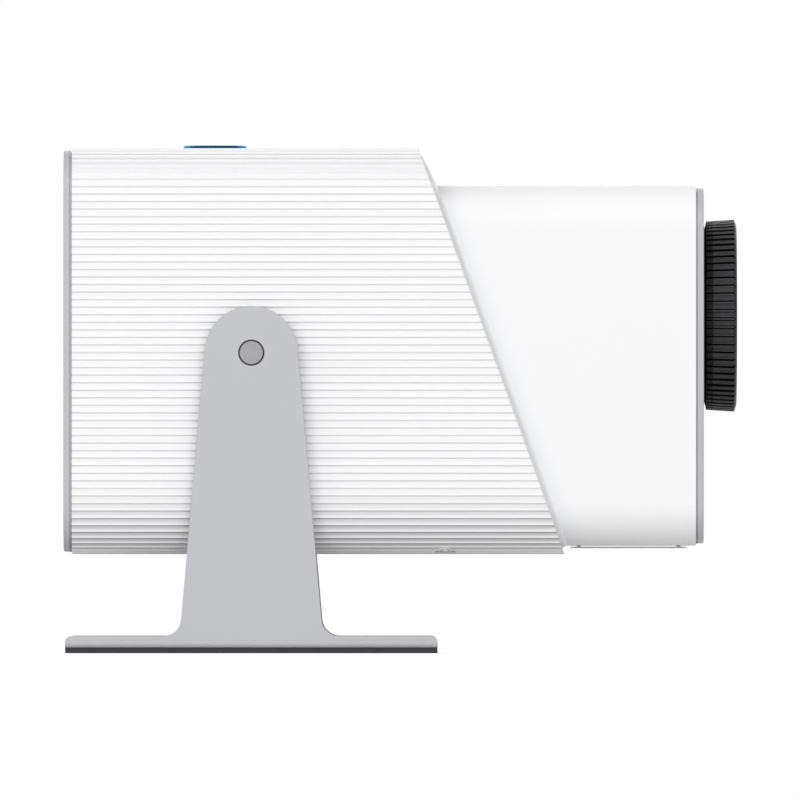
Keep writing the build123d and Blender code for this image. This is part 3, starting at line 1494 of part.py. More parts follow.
# ---------------------------------------------------------------- sockets on the main board's rear edge
for name, (place, (width, height, depth)) in sockets.items():
    middle_z = board_top + socket_wall + height / 2
    with BuildPart() as socket:
        shell_across = (place - width / 2 - socket_wall, place + width / 2 + socket_wall)
        shell_up = (board_top, board_top + height + 2 * socket_wall)
        block((socket_face, socket_face + depth + 2 * socket_wall), shell_across, shell_up)
        if name == "audio_jack":
            disc_along_x((socket_face, socket_face + depth), jack_hole_radius, place, middle_z, Mode.SUBTRACT)
        elif name == "power_inlet":
            with BuildSketch(cross_plane(socket_face, place, middle_z)):
                SlotOverall(width, height)
            extrude(amount=depth, mode=Mode.SUBTRACT)
            for side in (-1, 1):
                pin_y = place + side * inlet_pin_spacing / 2
                pin_x = (socket_face + depth - inlet_pin_length, socket_face + depth + root)
                disc_along_x(pin_x, inlet_pin_radius, pin_y, middle_z)
        else:
            mouth_across = (place - width / 2, place + width / 2)
            mouth_up = (middle_z - height / 2, middle_z + height / 2)
            block((socket_face, socket_face + depth), mouth_across, mouth_up, mode=Mode.SUBTRACT)
            tongue_across = (place - width / 2 + tongue_margin, place + width / 2 - tongue_margin)
            tongue_up = (middle_z - tongue_thickness / 2, middle_z + tongue_thickness / 2)
            tongue_along = (socket_face + tongue_setback, socket_face + depth + root)
            block(tongue_along, tongue_across, tongue_up)
    save(socket, name)

# ---------------------------------------------------------------- speakers
with BuildPart() as speakers:
    for side in SIDES.values():
        facing = cross_plane(sleeve_rear, side * speaker_y, speaker_z)
        axis_plane = Plane(origin=facing.origin, x_dir=(1, 0, 0), z_dir=(0, -1, 0))
        magnet_start = speaker_depth - speaker_magnet_depth
        add(
            turned(
                axis_plane,
                [
                    (speaker_flange, 0),
                    (speaker_flange, speaker_dome_radius),
                    (speaker_cone_setback, speaker_radius - speaker_flange),
                    (0, speaker_radius - speaker_flange),
                    (0, speaker_radius),
                    (speaker_flange, speaker_radius),
                    (magnet_start, speaker_magnet_radius),
                    (speaker_depth, speaker_magnet_radius),
                    (speaker_depth, 0),
                ],
            )
        )
save(speakers, "speakers")
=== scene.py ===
"""Looks of a compact video projector on a U-shaped stand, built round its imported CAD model."""

import math

import bpy
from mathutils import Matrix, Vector


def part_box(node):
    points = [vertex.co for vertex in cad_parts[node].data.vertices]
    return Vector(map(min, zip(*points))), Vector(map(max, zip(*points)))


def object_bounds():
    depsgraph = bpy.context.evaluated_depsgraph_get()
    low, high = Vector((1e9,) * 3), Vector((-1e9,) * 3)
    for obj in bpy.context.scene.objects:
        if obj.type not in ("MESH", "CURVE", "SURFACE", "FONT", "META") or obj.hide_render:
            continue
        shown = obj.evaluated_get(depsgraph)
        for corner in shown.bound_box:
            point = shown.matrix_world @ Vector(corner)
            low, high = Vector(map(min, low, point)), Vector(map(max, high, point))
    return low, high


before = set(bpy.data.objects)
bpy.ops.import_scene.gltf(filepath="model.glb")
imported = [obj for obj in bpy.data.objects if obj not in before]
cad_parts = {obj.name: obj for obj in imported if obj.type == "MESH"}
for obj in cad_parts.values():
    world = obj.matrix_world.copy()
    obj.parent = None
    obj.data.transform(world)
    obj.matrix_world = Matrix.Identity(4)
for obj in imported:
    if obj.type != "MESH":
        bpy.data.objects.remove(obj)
cad_low, cad_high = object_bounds()

MM = 0.001
X, Y, Z = range(3)

NOISE_SPAN = (0.3, 0.7)  # where most of a noise's values lie

# Sizes that no node's box gives, of the model and of what is drawn on it.
SLEEVE_TOP_LENGTH = 111.4 * MM
SLEEVE_CORNER = 14.5 * MM
RIB_DEPTH = 0.7 * MM
COLLAR_SHADE_REACH = 1.4 * MM
PIN_FACE_RADIUS = 3.8 * MM
RING_TEETH = 72
RING_LENGTH = 10.3 * MM
RING_REAR_RADIUS = 30.45 * MM
RING_FRONT_RADIUS = 31.1 * MM
LAMP_FACE_RADIUS = 8.2 * MM


# ---------------------------------------------------------------- materials
def tint(red, green, blue):
    """A colour given as 0 to 255 on screen, as the linear values that a shader takes."""
    levels = []
    for level in (red, green, blue):
        share = level / 255
        levels.append(share / 12.92 if share <= 0.04045 else ((share + 0.055) / 1.055) ** 2.4)
    return (*levels, 1.0)


def scaled(colour, factor):
    """The colour made lighter or darker by a factor."""
    return (*(min(1.0, level * factor) for level in colour[:3]), 1.0)


class Surface:
    """One material: a principled shader and short ways to add the nodes that feed it."""

    def __init__(self, name, **constants):
        self.material = bpy.data.materials.new(name)
        self.material.use_nodes = True
        self.tree = self.material.node_tree
        self.tree.nodes.clear()
        self.shader = self.add("BsdfPrincipled")
        self.join(self.shader.outputs[0], self.add("OutputMaterial").inputs["Surface"])
        self.place = self.add("TexCoord").outputs["Object"]
        self.heights = []
        for socket, value in constants.items():
            self.shader.inputs[socket.replace("_", " ")].default_value = value

    def add(self, kind):
        return self.tree.nodes.new("ShaderNode" + kind)

    def join(self, source, target):
        self.tree.links.new(source, target)

    def feed(self, node, socket, value):
        """Sets an input to a constant, or links it if the value is another node's output."""
        if isinstance(value, bpy.types.NodeSocket):
            self.join(value, node.inputs[socket])
        else:
            node.inputs[socket].default_value = value

    def math(self, operation, first, second=0.0, third=0.0):
        node = self.add("Math")
        node.operation = operation
        for socket, value in enumerate((first, second, third)):
            self.feed(node, socket, value)
        return node.outputs[0]

    def vector(self, operation, first, second=(0, 0, 0), output="Vector"):
        """A vector operation on a node's output and a constant."""
        node = self.add("VectorMath")
        node.operation = operation
        self.join(first, node.inputs[0])
        node.inputs[1].default_value = second
        return node.outputs[output]

    def stretched(self, stretch):
        node = self.add("Mapping")
        self.join(self.place, node.inputs["Vector"])
        node.inputs["Scale"].default_value = stretch
        return node.outputs[0]

    def noise(self, size, detail=3.0, stretch=(1, 1, 1)):
        """Even noise whose features are about that size, from 0 to 1."""
        node = self.add("TexNoise")
        self.join(self.stretched(stretch), node.inputs["Vector"])
        node.inputs["Scale"].default_value = 1 / size
        node.inputs["Detail"].default_value = detail
        return node.outputs["Fac"]

    def cells(self, size, feature="F1", stretch=(1, 1, 1)):
        """Distance to the nearest cell's middle or edge."""
        node = self.add("TexVoronoi")
        node.feature = feature
        self.join(self.stretched(stretch), node.inputs["Vector"])
        node.inputs["Scale"].default_value = 1 / size
        return node.outputs["Distance"]

    def range(self, value, low, high, new_low=0.0, new_high=1.0):
        """The value's place between low and high, held there, as one between the new two."""
        node = self.add("MapRange")
        for socket, number in enumerate((value, low, high, new_low, new_high)):
            self.feed(node, socket, number)
        return node.outputs[0]

    def blend(self, factor, first, second):
        """A colour between the two, by the factor."""
        node = self.add("Mix")
        node.data_type = "RGBA"
        self.feed(node, 0, factor)
        self.feed(node, 6, first)
        self.feed(node, 7, second)
        return node.outputs[2]

    def cloudy(self, colour, size, mottle):
        """The colour, faintly lighter and darker in clouds of that size."""
        return self.blend(
            self.noise(size, 2.0), scaled(colour, 1 - mottle), scaled(colour, 1 + mottle)
        )

    def along(self, axis):
        """The coordinate along an axis, in metres."""
        node = self.add("SeparateXYZ")
        self.join(self.place, node.inputs[0])
        return node.outputs[axis]

    def radius_from(self, axis, centre):
        """Distance from a line along an axis through a point, in metres."""
        away = self.vector("SUBTRACT", self.place, centre)
        across = [0.0 if number == axis else 1.0 for number in (X, Y, Z)]
        return self.vector("LENGTH", self.vector("MULTIPLY", away, across), output="Value")

    def beyond(self, point, direction):
        """Distance past a plane through a point, along the plane's direction, in metres."""
        reach = self.vector("DOT_PRODUCT", self.place, direction, "Value")
        return self.math("SUBTRACT", reach, point.dot(direction))

    def depth_below(self, low, high, corner):
        """Depth below a bar along X with that box and corner radius, in metres."""
        flat = (high - low) / 2 - Vector((0, corner, corner))
        from_middle = self.vector("SUBTRACT", self.place, (low + high) / 2)
        past_flat = self.vector("SUBTRACT", self.vector("ABSOLUTE", from_middle), flat)
        across = self.vector("MULTIPLY", self.vector("MAXIMUM", past_flat), (0, 1, 1))
        return self.math("SUBTRACT", corner, self.vector("LENGTH", across, output="Value"))

    def share_of_turn(self, centre, count):
        """0 in the middle of each of that many teeth round a line along X, and 1 between two."""
        up = self.math("SUBTRACT", self.along(Z), centre.z)
        turn = self.math("ARCTAN2", up, self.math("SUBTRACT", self.along(Y), centre.y))
        teeth = self.math("MULTIPLY", turn, count / (2 * math.pi))
        return self.math("MULTIPLY", self.math("PINGPONG", teeth, 0.5), 2.0)

    def openness(self, reach):
        """1 on open faces, falling towards 0 in corners and grooves narrower than the reach."""
        node = self.add("AmbientOcclusion")
        node.samples = 8
        node.only_local = True
        node.inputs["Distance"].default_value = reach
        return node.outputs["AO"]

    def waves(self, value, pitch):
        """A smooth wave of that pitch along a value in metres, from 0 to 1."""
        turns = self.math("MULTIPLY", value, 2 * math.pi / pitch)
        return self.math("MULTIPLY_ADD", self.math("SINE", turns), 0.5, 0.5)

    def colour(self, value):
        self.feed(self.shader, "Base Color", value)

    def roughness(self, value):
        self.feed(self.shader, "Roughness", value)

    def gloss(self, size, low, high):
        """Roughness between the two, uneven in patches of that size."""
        self.roughness(self.range(self.noise(size), *NOISE_SPAN, low, high))

    def relief(self, height, depth):
        """Adds a height from 0 to 1, of that depth in metres, to the surface's bumps."""
        self.heights.append((height, depth))

    def finished(self, edge=0.25 * MM):
        """Joins the bumps and softens the edges by that radius. Returns the material."""
        normal = None
        if edge:
            bevel = self.add("Bevel")
            bevel.samples = 4
            bevel.inputs["Radius"].default_value = edge
            normal = bevel.outputs[0]
        for height, depth in self.heights:
            bump = self.add("Bump")
            bump.inputs["Strength"].default_value = 1.0
            bump.inputs["Distance"].default_value = depth
            self.join(height, bump.inputs["Height"])
            if normal is not None:
                self.join(normal, bump.inputs["Normal"])
            normal = bump.outputs[0]
        if normal is not None:
            self.join(normal, self.shader.inputs["Normal"])
        return self.material


WHITE = tint(250, 250, 251)
WHITE_CLOUDS = (28 * MM, 0.006)


def centre_of(node):
    low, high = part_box(node)
    return (low + high) / 2


lens_line = centre_of("focus_ring")
pivot_line = centre_of("hinge_pin_right")


def moulded(
    name, colour, rough, grain=0.35 * MM, depth=0.004 * MM, mottle=0.012, edge=0.25 * MM
):
    """Moulded plastic or paint: a fine grain, faint cloudiness, and uneven gloss."""
    surface = Surface(name)
    surface.colour(surface.cloudy(colour, 28 * MM, mottle))
    surface.gloss(6 * MM, rough - 0.05, rough + 0.05)
    surface.relief(surface.noise(grain, 2.0), depth)
    return surface.finished(edge)


def sleeve_white():
    """White moulded plastic, with painted shade in the grooves between its ribs, most at its lower
    corners and a little on its top.
    """
    surface = Surface("sleeve_white", Specular_IOR_Level=0.18)
    low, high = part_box("outer_sleeve")
    depth = surface.depth_below(low, high, SLEEVE_CORNER)
    groove = surface.range(depth, 0.05 * MM, RIB_DEPTH)
    height = surface.along(Z)
    # Painted shade: the grooves are darkened towards grey, most near the lower corners, less on
    # the flat underside and a little on the top.
    lower = surface.range(height, low.z + 3 * MM, low.z + 20 * MM, 0.7, 0.07)
    off_flat = surface.range(height, low.z + 0.75 * MM, low.z + 1.3 * MM, 0.3, 1.0)
    on_top = surface.range(height, high.z - 8 * MM, high.z - 1 * MM, 0.0, 0.22)
    share = surface.math("MULTIPLY_ADD", lower, off_flat, on_top)
    shade = surface.math("MULTIPLY", groove, share)
    unshaded = surface.cloudy(WHITE, *WHITE_CLOUDS)
    # The painted shade is mixed in here, by the share worked out above.
    surface.colour(surface.blend(shade, unshaded, tint(104, 105, 108)))
    surface.gloss(6 * MM, 0.5, 0.6)
    surface.relief(surface.noise(0.3 * MM, 2.0), 0.004 * MM)
    return surface.finished(0.12 * MM)


def shell_white():
    """White moulded plastic, with painted shade on the bevelled collar and in the corner at its
    foot, darker towards the top.
    """
    surface = Surface("shell_white", Specular_IOR_Level=0.18)
    low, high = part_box("outer_sleeve")
    height = surface.along(Z)
    # Painted shade in the corner at the collar's foot, where the openness is low, darker near the
    # top.
    roof = surface.range(height, high.z - 17 * MM, high.z - 12 * MM)
    corner_shade = surface.blend(roof, tint(244, 245, 247), tint(212, 213, 215))
    open_face = surface.range(surface.openness(9 * MM), 0.72, 0.99)
    shaded = surface.blend(open_face, corner_shade, surface.cloudy(WHITE, *WHITE_CLOUDS))
    # Painted shade on a band of the bevelled collar past the sleeve's rim, darker near the top.
    rim_top = Vector((low.x + SLEEVE_TOP_LENGTH, 0, high.z))
    rim_bottom = Vector((high.x, 0, low.z))
    forward = Vector((rim_top.z - rim_bottom.z, 0, rim_bottom.x - rim_top.x)).normalized()
    past_rim = surface.beyond(rim_top, forward)
    start = surface.range(past_rim, 0.0, 0.2 * MM)
    end = surface.range(past_rim, COLLAR_SHADE_REACH - 0.3 * MM, COLLAR_SHADE_REACH, 1.0, 0.0)
    top = surface.range(height, high.z - 14 * MM, high.z - 8 * MM)
    collar_shade = surface.blend(top, tint(228, 229, 231), tint(196, 197, 199))
    surface.colour(surface.blend(surface.math("MULTIPLY", start, end), shaded, collar_shade))
    surface.gloss(6 * MM, 0.43, 0.53)
    surface.relief(surface.noise(0.3 * MM, 2.0), 0.003 * MM)
    return surface.finished(0.25 * MM)


def hatch_white():
    """White moulded plastic, with painted shade along the cover's two long edges."""
    surface = Surface("hatch_white", Specular_IOR_Level=0.18)
    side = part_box("service_cover")[1].y
    off_middle = surface.math("ABSOLUTE", surface.along(Y))
    # Painted shade on the thin long edges, which sit in the shell's shadow.
    edge = surface.range(off_middle, side - 0.5 * MM, side - 0.3 * MM)
    unshaded = surface.cloudy(WHITE, *WHITE_CLOUDS)
    surface.colour(surface.blend(edge, unshaded, tint(196, 197, 199)))
    surface.gloss(6 * MM, 0.43, 0.53)
    surface.relief(surface.noise(0.3 * MM, 2.0), 0.003 * MM)
    return surface.finished(0.05 * MM)


def powder_coat():
    """Fine satin powder coat with an orange-peel surface and pale sparkle."""
    surface = Surface("powder_coat", Specular_IOR_Level=0.3)
    plain = surface.cloudy(tint(193, 194, 199), 35 * MM, 0.015)
    fleck = surface.range(surface.noise(0.5 * MM, 2.0), 0.35, 0.65, 0.0, 0.12)
    surface.colour(surface.blend(fleck, plain, tint(214, 215, 219)))
    surface.gloss(3 * MM, 0.42, 0.52)
    surface.relief(surface.noise(1.1 * MM, 1.0), 0.012 * MM)
    surface.relief(surface.noise(0.3 * MM, 2.0), 0.004 * MM)
    return surface.finished(0.4 * MM)


def mat_rubber():
    """Matt rubber with a pebbled face."""
    surface = Surface("mat_rubber", Specular_IOR_Level=0.3)
    base = tint(60, 61, 65)
    dust = surface.range(surface.noise(4 * MM, 4.0), 0.45, 0.75, 0.0, 0.35)
    surface.colour(surface.blend(dust, base, scaled(base, 1.5)))
    surface.gloss(2 * MM, 0.72, 0.88)
    surface.relief(surface.cells(0.9 * MM), 0.05 * MM)
    return surface.finished(0.2 * MM)


def turned(name, colour, rough, pitch, metallic=1.0):
    """Metal turned on a lathe: fine rings round the lens's axis."""
    surface = Surface(name, Metallic=metallic)
    smear = surface.noise(2.5 * MM)
    surface.colour(surface.blend(smear, scaled(colour, 0.93), scaled(colour, 1.05)))
    surface.gloss(0.8 * MM, rough - 0.05, rough + 0.07)
    surface.relief(surface.waves(surface.radius_from(X, lens_line), pitch), 0.002 * MM)
    return surface.finished(0.2 * MM)


def pin_metal():
    """Turned pin head, with painted shade in the groove round its rim."""
    surface = Surface("pin_metal", Metallic=0.3)
    radius = surface.radius_from(Y, pivot_line)
    plain = surface.blend(surface.noise(2.5 * MM), tint(139, 138, 140), tint(151, 150, 152))
    # Painted shade: the groove round the pin's face is painted near black.
    rim_shade = surface.range(radius, PIN_FACE_RADIUS - 0.1 * MM, PIN_FACE_RADIUS)
    surface.colour(surface.blend(rim_shade, plain, tint(22, 22, 24)))
    surface.gloss(0.8 * MM, 0.35, 0.47)
    surface.relief(surface.waves(radius, 0.22 * MM), 0.002 * MM)
    return surface.finished(0.2 * MM)


def drawn_metal(name, colour, stretch, rough, edge=0.2 * MM):
    """Drawn, rolled or extruded metal with fine lines along it."""
    surface = Surface(name, Metallic=1.0)
    lines = surface.noise(0.35 * MM, 3.0, stretch)
    cloud = surface.noise(9 * MM)
    surface.colour(surface.blend(cloud, scaled(colour, 0.9), scaled(colour, 1.06)))
    surface.roughness(surface.range(lines, *NOISE_SPAN, rough - 0.08, rough + 0.1))
    surface.relief(lines, 0.004 * MM)
    return surface.finished(edge)


def ring_plastic():
    """Black plastic with painted light and shade: highlights on tooth tops and groove floors,
    shade on the walls and on the edges all round, and a painted shadow over its rear.
    """
    surface = Surface("ring_plastic", Specular_IOR_Level=0.06)
    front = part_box("focus_ring")[1].x
    rear = front - RING_LENGTH
    forward = surface.along(X)
    crest = surface.range(forward, rear, front, RING_REAR_RADIUS, RING_FRONT_RADIUS)
    depth = surface.math("SUBTRACT", crest, surface.radius_from(X, lens_line))
    # Painted highlights: tooth tops and groove floors are made lighter than the black plastic.
    sheen_mottle = surface.range(surface.noise(1.6 * MM, 4.0), 0.4, 0.75)
    tops = surface.blend(sheen_mottle, tint(66, 66, 68), tint(76, 76, 78))
    floors = surface.range(depth, 0.3 * MM, 0.4 * MM)
    painted_sheen = surface.blend(floors, tops, tint(90, 90, 92))
    # Painted shade on the tooth walls.
    from_tooth = surface.share_of_turn(lens_line, RING_TEETH)
    past_edge = surface.range(from_tooth, 0.5, 0.54)
    before_floor = surface.range(from_tooth, 0.77, 0.81, 1.0, 0.0)
    walls = surface.math("MULTIPLY", past_edge, before_floor)
    plain = surface.blend(walls, painted_sheen, tint(5, 5, 6))
    # Painted shadow over the rear of the ring, with a ragged edge.
    ragged = surface.math("MULTIPLY_ADD", surface.noise(2.6 * MM, 2.0), 1.2 * MM, forward)
    rear_shadow = surface.range(ragged, rear + 3.1 * MM, rear + 3.3 * MM, 0.72, 0.0)
    plain = surface.blend(rear_shadow, plain, tint(8, 8, 9))
    # Painted shade on the front and rear edges.
    front_edge = surface.range(forward, front - 0.95 * MM, front - 0.8 * MM)
    rear_edge = surface.range(forward, rear + 0.5 * MM, rear + 0.6 * MM, 1.0, 0.0)
    edges = surface.math("MAXIMUM", front_edge, rear_edge)
    surface.colour(surface.blend(edges, plain, tint(8, 8, 9)))
    surface.gloss(2.2 * MM, 0.38, 0.5)
    surface.relief(surface.noise(0.4 * MM, 2.0), 0.004 * MM)
    return surface.finished(0.06 * MM)


def button_lens():
    """Smoked blue light pipe round the button, with painted light towards the front and the back,
    and a faint painted glow.
    """
    surface = Surface("button_lens", Specular_IOR_Level=0.05, Emission_Strength=0.12)
    from_middle = surface.math("SUBTRACT", surface.along(X), centre_of("button_ring").x)
    # Painted light: the front and back ends are made a lighter blue.
    painted_lit_ends = surface.range(surface.math("ABSOLUTE", from_middle), 6.5 * MM, 9.2 * MM)
    smoked = surface.blend(surface.noise(5 * MM, 2.0), tint(6, 62, 92), tint(14, 76, 104))
    shade = surface.blend(painted_lit_ends, smoked, tint(40, 132, 190))
    surface.colour(shade)
    # A faint painted glow in the same colour.
    surface.feed(surface.shader, "Emission Color", shade)
    surface.gloss(1 * MM, 0.3, 0.42)
    surface.relief(surface.noise(0.5 * MM, 1.0), 0.003 * MM)
    return surface.finished(0.05 * MM)


def coated_glass(name, colour, film, sheet=False):
    """Polished optical glass with a thin coating, in nanometres, that colours its reflection."""
    surface = Surface(
        name,
        Transmission_Weight=1.0,
        IOR=1.52,
        Thin_Film_Thickness=film,
        Thin_Film_IOR=1.38,
    )
    surface.colour(surface.blend(surface.noise(9 * MM), colour, scaled(colour, 0.97)))
    surface.roughness(surface.range(surface.noise(3 * MM), 0.4, 0.8, 0.01, 0.04))
    if sheet:
        surface.relief(surface.noise(1.2 * MM, 2.0), 0.002 * MM)
    return surface.finished(0)


def fresnel_sheet():
    """Clear sheet moulded with fine rings round the light's axis."""
    surface = Surface("fresnel_sheet", Transmission_Weight=0.9, IOR=1.49)
    surface.colour(
        surface.blend(surface.noise(12 * MM), tint(226, 232, 236), tint(236, 240, 242))
    )
    surface.gloss(2 * MM, 0.05, 0.1)
    surface.relief(surface.waves(surface.radius_from(X, lens_line), 0.5 * MM), 0.06 * MM)
    return surface.finished(0)


def display_panel():
    """Dark glass with the fine grid of a display's cells behind it."""
    surface = Surface("display_panel", Coat_Weight=1.0, Coat_Roughness=0.04)
    across = surface.waves(surface.along(Y), 0.4 * MM)
    up = surface.waves(surface.along(Z), 0.4 * MM)
    cell = surface.math("MULTIPLY", across, up)
    surface.colour(surface.blend(cell, tint(22, 22, 27), tint(44, 45, 54)))
    surface.gloss(4 * MM, 0.16, 0.24)
    surface.relief(cell, 0.002 * MM)
    return surface.finished(0.15 * MM)


def mirror_foil():
    """Bright foil on the light cone's walls, faintly rippled."""
    surface = Surface("mirror_foil", Metallic=1.0)
    surface.colour(
        surface.blend(surface.noise(8 * MM), tint(222, 223, 226), tint(240, 241, 243))
    )
    surface.gloss(1.5 * MM, 0.08, 0.18)
    surface.relief(surface.noise(5 * MM, 2.0), 0.03 * MM)
    return surface.finished(0.15 * MM)


def lamp_ceramic():
    """White ceramic with a yellow phosphor face in its middle, in small square dies."""
    surface = Surface("lamp_ceramic", Specular_IOR_Level=0.4)
    radius = surface.radius_from(X, lens_line)
    lit = surface.range(radius, LAMP_FACE_RADIUS, LAMP_FACE_RADIUS + 0.4 * MM, 1.0, 0.0)
    across = surface.waves(surface.along(Y), 2.4 * MM)
    up = surface.waves(surface.along(Z), 2.4 * MM)
    dies = surface.range(surface.math("MULTIPLY", across, up), 0.1, 0.3)
    face = surface.blend(dies, tint(214, 178, 48), tint(238, 208, 92))
    body = surface.blend(surface.noise(6 * MM), tint(216, 214, 204), tint(230, 229, 222))
    surface.colour(surface.blend(lit, body, face))
    surface.gloss(1 * MM, 0.45, 0.6)
    surface.relief(surface.noise(0.4 * MM), 0.006 * MM)
    return surface.finished(0.2 * MM)


def circuit_board():
    """Green solder mask over tracks, with rows of tinned pads in patches."""
    surface = Surface("circuit_board", Specular_IOR_Level=0.55)
    cell_edge = surface.cells(3.4 * MM, "DISTANCE_TO_EDGE", (1, 1, 0.05))
    track = surface.range(cell_edge, 0.02, 0.05, 1.0, 0.0)
    across = surface.waves(surface.along(X), 2.54 * MM)
    along = surface.waves(surface.along(Y), 2.54 * MM)
    grid = surface.range(surface.math("MULTIPLY", across, along), 0.86, 0.9)
    patches = surface.range(surface.noise(11 * MM, 1.0), 0.52, 0.56)
    pads = surface.math("MULTIPLY", grid, patches)
    plain = surface.blend(track, tint(22, 84, 48), tint(38, 116, 66))
    surface.colour(surface.blend(pads, plain, tint(196, 190, 150)))
    surface.roughness(surface.range(pads, 0.0, 1.0, 0.34, 0.24))
    surface.relief(track, 0.03 * MM)
    surface.relief(surface.noise(0.5 * MM), 0.004 * MM)
    return surface.finished(0.1 * MM)


def open_foam():
    """Open-cell filter foam: thin struts, with painted shade in the pores between them."""
    surface = Surface("open_foam", Specular_IOR_Level=0.2)
    pores = surface.cells(1.1 * MM, "DISTANCE_TO_EDGE")
    strut = surface.range(pores, 0.04, 0.22, 1.0, 0.0)
    # Painted shade in the pores.
    surface.colour(surface.blend(strut, tint(30, 30, 32), tint(88, 88, 92)))
    surface.gloss(2 * MM, 0.85, 0.95)
    surface.relief(strut, 0.3 * MM)
    return surface.finished(0)


def cone_paper():
    """Black pulp paper with short fibres."""
    surface = Surface("cone_paper", Specular_IOR_Level=0.25)
    fibres = surface.noise(0.5 * MM, 5.0, (1, 3, 1))
    surface.colour(
        surface.blend(surface.range(fibres, 0.4, 0.7), tint(27, 27, 29), tint(58, 58, 62))
    )
    surface.gloss(2 * MM, 0.75, 0.9)
    surface.relief(fibres, 0.05 * MM)
    return surface.finished(0.2 * MM)


def dark_window():
    """Dark red filter window over the infrared receiver."""
    surface = Surface("dark_window", Coat_Weight=1.0, Coat_Roughness=0.05)
    surface.colour(surface.blend(surface.noise(2 * MM), tint(38, 8, 14), tint(64, 14, 22)))
    surface.gloss(1 * MM, 0.12, 0.2)
    surface.relief(surface.noise(1 * MM, 1.0), 0.002 * MM)
    return surface.finished(0.1 * MM)


plate_grey = moulded("plate_grey", tint(186, 187, 192), rough=0.4, depth=0.005 * MM, mottle=0.01)
button_white = moulded(
    "button_white", tint(228, 229, 233), rough=0.22, grain=0.4 * MM, depth=0.002 * MM, mottle=0.006
)
inner_black = moulded(
    "inner_black", tint(44, 44, 47), rough=0.6, grain=0.5 * MM, depth=0.02 * MM, mottle=0.06
)
fan_black = moulded(
    "fan_black", tint(36, 36, 39), rough=0.38, grain=0.5 * MM, depth=0.008 * MM, mottle=0.05
)
washer_nylon = moulded(
    "washer_nylon", tint(52, 52, 55), rough=0.5, grain=0.3 * MM, depth=0.008 * MM, mottle=0.05
)
socket_black = moulded(
    "socket_black",
    tint(34, 34, 36),
    rough=0.42,
    grain=0.3 * MM,
    depth=0.008 * MM,
    mottle=0.05,
    edge=0.15 * MM,
)
part_black = moulded(
    "part_black", tint(40, 40, 44), rough=0.3, grain=0.5 * MM, depth=0.006 * MM, mottle=0.05
)
processor_alloy = drawn_metal("processor_alloy", tint(176, 177, 181), (0.08, 1, 1), rough=0.32)
bare_steel = drawn_metal("bare_steel", tint(170, 170, 173), (1, 0.1, 1), rough=0.34)
plated_shell = drawn_metal(
    "plated_shell", tint(178, 178, 180), (0.1, 1, 1), rough=0.26, edge=0.12 * MM
)
extruded_alloy = drawn_metal("extruded_alloy", tint(186, 187, 190), (1, 1, 0.06), rough=0.36)
screw_steel = turned("screw_steel", tint(172, 172, 175), rough=0.3, pitch=0.3 * MM)
barrel_anodised = turned(
    "barrel_anodised", tint(30, 30, 32), rough=0.42, pitch=0.45 * MM, metallic=0.6
)
lens_glass = coated_glass("lens_glass", tint(232, 240, 244), film=420)
heat_sheet = coated_glass("heat_sheet", tint(226, 234, 236), film=300, sheet=True)

MATERIALS = {
    powder_coat(): ["stand_bracket"],
    mat_rubber(): ["stand_mat"],
    bare_steel: [
        "tripod_nut", "disc_springs", "lock_nuts", "hinge_plates", "chassis_tray", "ring_clip",
    ],
    screw_steel: [
        "rear_cover_screws", "lens_screws", "engine_screws", "foot_screws", "board_screws",
    ],
    pin_metal(): ["hinge_pin_right", "hinge_pin_left"],
    washer_nylon: ["spacer_washers", "thrust_washers", "hinge_bushes"],
    inner_black: ["lens_mount", "lens_guide", "engine_housing", "engine_cover"],
    fan_black: [
        "exhaust_fan_frame", "intake_fan_frame", "exhaust_fan_rotor", "intake_fan_rotor",
    ],
    sleeve_white(): ["outer_sleeve"],
    shell_white(): ["front_shell"],
    hatch_white(): ["service_cover"],
    plate_grey: ["front_panel", "rear_cover"],
    open_foam(): ["dust_filter"],
    button_lens(): ["button_ring"],
    button_white: ["power_button_cap"],
    circuit_board(): ["main_board", "power_board", "button_board"],
    dark_window(): ["infrared_window"],
    heat_sheet: ["heat_glass"],
    fresnel_sheet(): ["rear_fresnel", "front_fresnel"],
    display_panel(): ["lcd_panel"],
    mirror_foil(): ["light_cone"],
    lamp_ceramic(): ["led_module"],
    extruded_alloy: ["led_heatsink"],
    processor_alloy: ["processor_heatsink"],
    part_black: ["power_parts"],
    socket_black: ["power_inlet", "audio_jack"],
    plated_shell: ["hdmi_socket", "usb_socket"],
    cone_paper(): ["speakers"],
    ring_plastic(): ["focus_ring"],
    barrel_anodised: ["lens_barrel", "lens_retainers"],
    lens_glass: ["front_lens", "middle_lens", "rear_lens"],
}
for material, names in MATERIALS.items():
    for name in names:
        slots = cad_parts[name].data.materials
        if len(slots) == 0:
            slots.append(material)
        for number in range(len(slots)):
            slots[number] = material


# ---------------------------------------------------------------- floor and world
FLOOR_RADIUS = 3.0
FLOOR_DROP = 0.05 * MM
LIGHT_LEVEL = 0.52  # of the world, as light on the object
SEEN_LEVEL = 1.0  # of the world, where it is seen, mirrored or let through


def seen_directly(tree):
    """1 for a ray from the camera, or one mirrored or let through on its way, and 0 for light."""
    path = tree.nodes.new("ShaderNodeLightPath")
    total = path.outputs["Is Camera Ray"]
    for kind in ("Is Glossy Ray", "Is Transmission Ray"):
        either = tree.nodes.new("ShaderNodeMath")
        either.operation = "MAXIMUM"
        tree.links.new(total, either.inputs[0])
        tree.links.new(path.outputs[kind], either.inputs[1])
        total = either.outputs[0]
    return total


def floor_paper():
    """Pale paper that keeps the object's shadow and turns white away from it."""
    surface = Surface("floor_paper")
    surface.colour(
        surface.blend(surface.noise(90 * MM, 2.0), tint(214, 214, 214), tint(218, 218, 218))
    )
    surface.gloss(20 * MM, 0.85, 0.95)
    glow = surface.range(surface.radius_from(Z, (0, 0, 0)), 0.3, 1.2, 0.5, 1.0)
    seen_glow = surface.math("MULTIPLY", seen_directly(surface.tree), glow)
    surface.feed(surface.shader, "Emission Strength", seen_glow)
    surface.feed(surface.shader, "Emission Color", (1, 1, 1, 1))
    return surface.finished(0)


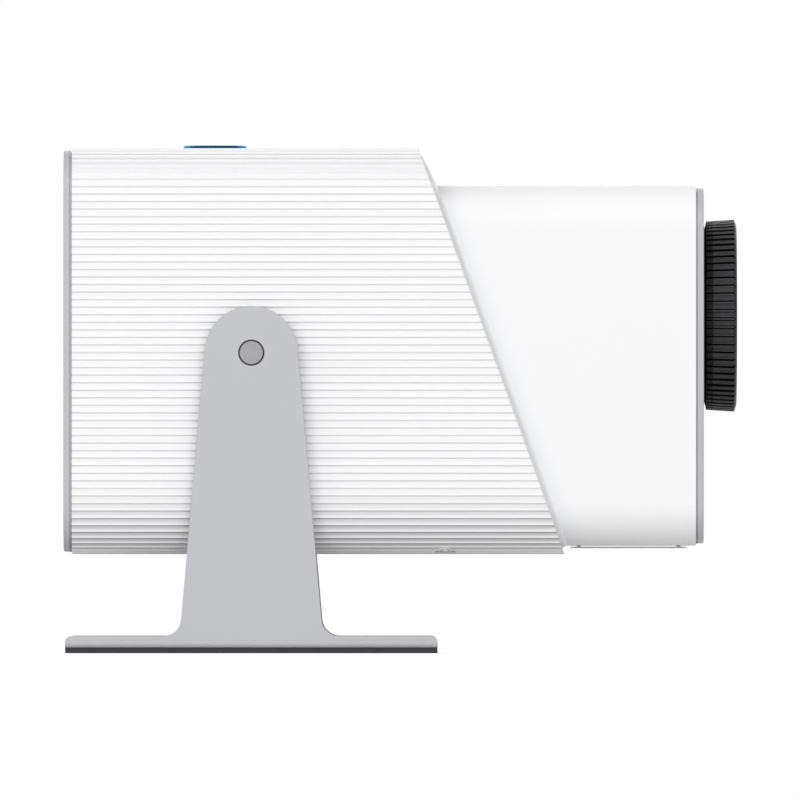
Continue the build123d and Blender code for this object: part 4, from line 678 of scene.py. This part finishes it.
bpy.ops.mesh.primitive_circle_add(
    vertices=96, radius=FLOOR_RADIUS, fill_type="NGON", location=(0, 0, cad_low.z - FLOOR_DROP)
)
floor = bpy.context.object
floor.name = "floor"
floor.data.materials.append(floor_paper())

world = bpy.data.worlds.new("studio")
bpy.context.scene.world = world
world.use_nodes = True
background = world.node_tree.nodes["Background"]
background.inputs["Color"].default_value = (1, 1, 1, 1)
level = world.node_tree.nodes.new("ShaderNodeMapRange")
level.inputs["To Min"].default_value = LIGHT_LEVEL
level.inputs["To Max"].default_value = SEEN_LEVEL
world.node_tree.links.new(seen_directly(world.node_tree), level.inputs[0])
world.node_tree.links.new(level.outputs[0], background.inputs["Strength"])


# ---------------------------------------------------------------- lamps and camera
# Name, place from the object's middle and side in metres, and power in watts.
LAMPS = (
    ("lamp_front", Vector((-0.3, -2.4, 0.7)), 3.0, 48),
    ("lamp_left", Vector((-2.2, -0.2, 0.6)), 1.8, 8),
    ("lamp_right", Vector((2.2, -0.2, 0.6)), 1.8, 2),
    ("lamp_back", Vector((0, 2.4, 0.6)), 2.0, 18),
)
for name, place, side, power in LAMPS:
    lamp = bpy.data.lights.new(name, "AREA")
    lamp.size = side
    lamp.energy = power
    holder = bpy.data.objects.new(name, lamp)
    bpy.context.scene.collection.objects.link(holder)
    holder.location = (cad_low + cad_high) / 2 + place
    holder.rotation_mode = "QUATERNION"
    holder.rotation_quaternion = (-place).to_track_quat("-Z", "Y")
    holder.visible_camera = False

VIEW_WIDTH = 257.6 * MM  # what the camera takes in at its target
EYE_LEVEL = 20 * MM
target = Vector((47.8, -50, 81.5)) * MM
camera = bpy.data.cameras.new("camera")
camera.lens = 1600
camera.sensor_width = 36
camera.clip_end = 40
viewer = bpy.data.objects.new("camera", camera)
bpy.context.scene.collection.objects.link(viewer)
distance = camera.lens / camera.sensor_width * VIEW_WIDTH
viewer.location = (target.x, target.y - distance, EYE_LEVEL)
viewer.rotation_mode = "QUATERNION"
viewer.rotation_quaternion = (target - viewer.location).to_track_quat("-Z", "Y")
bpy.context.scene.camera = viewer
bpy.context.scene.view_settings.view_transform = "Standard"
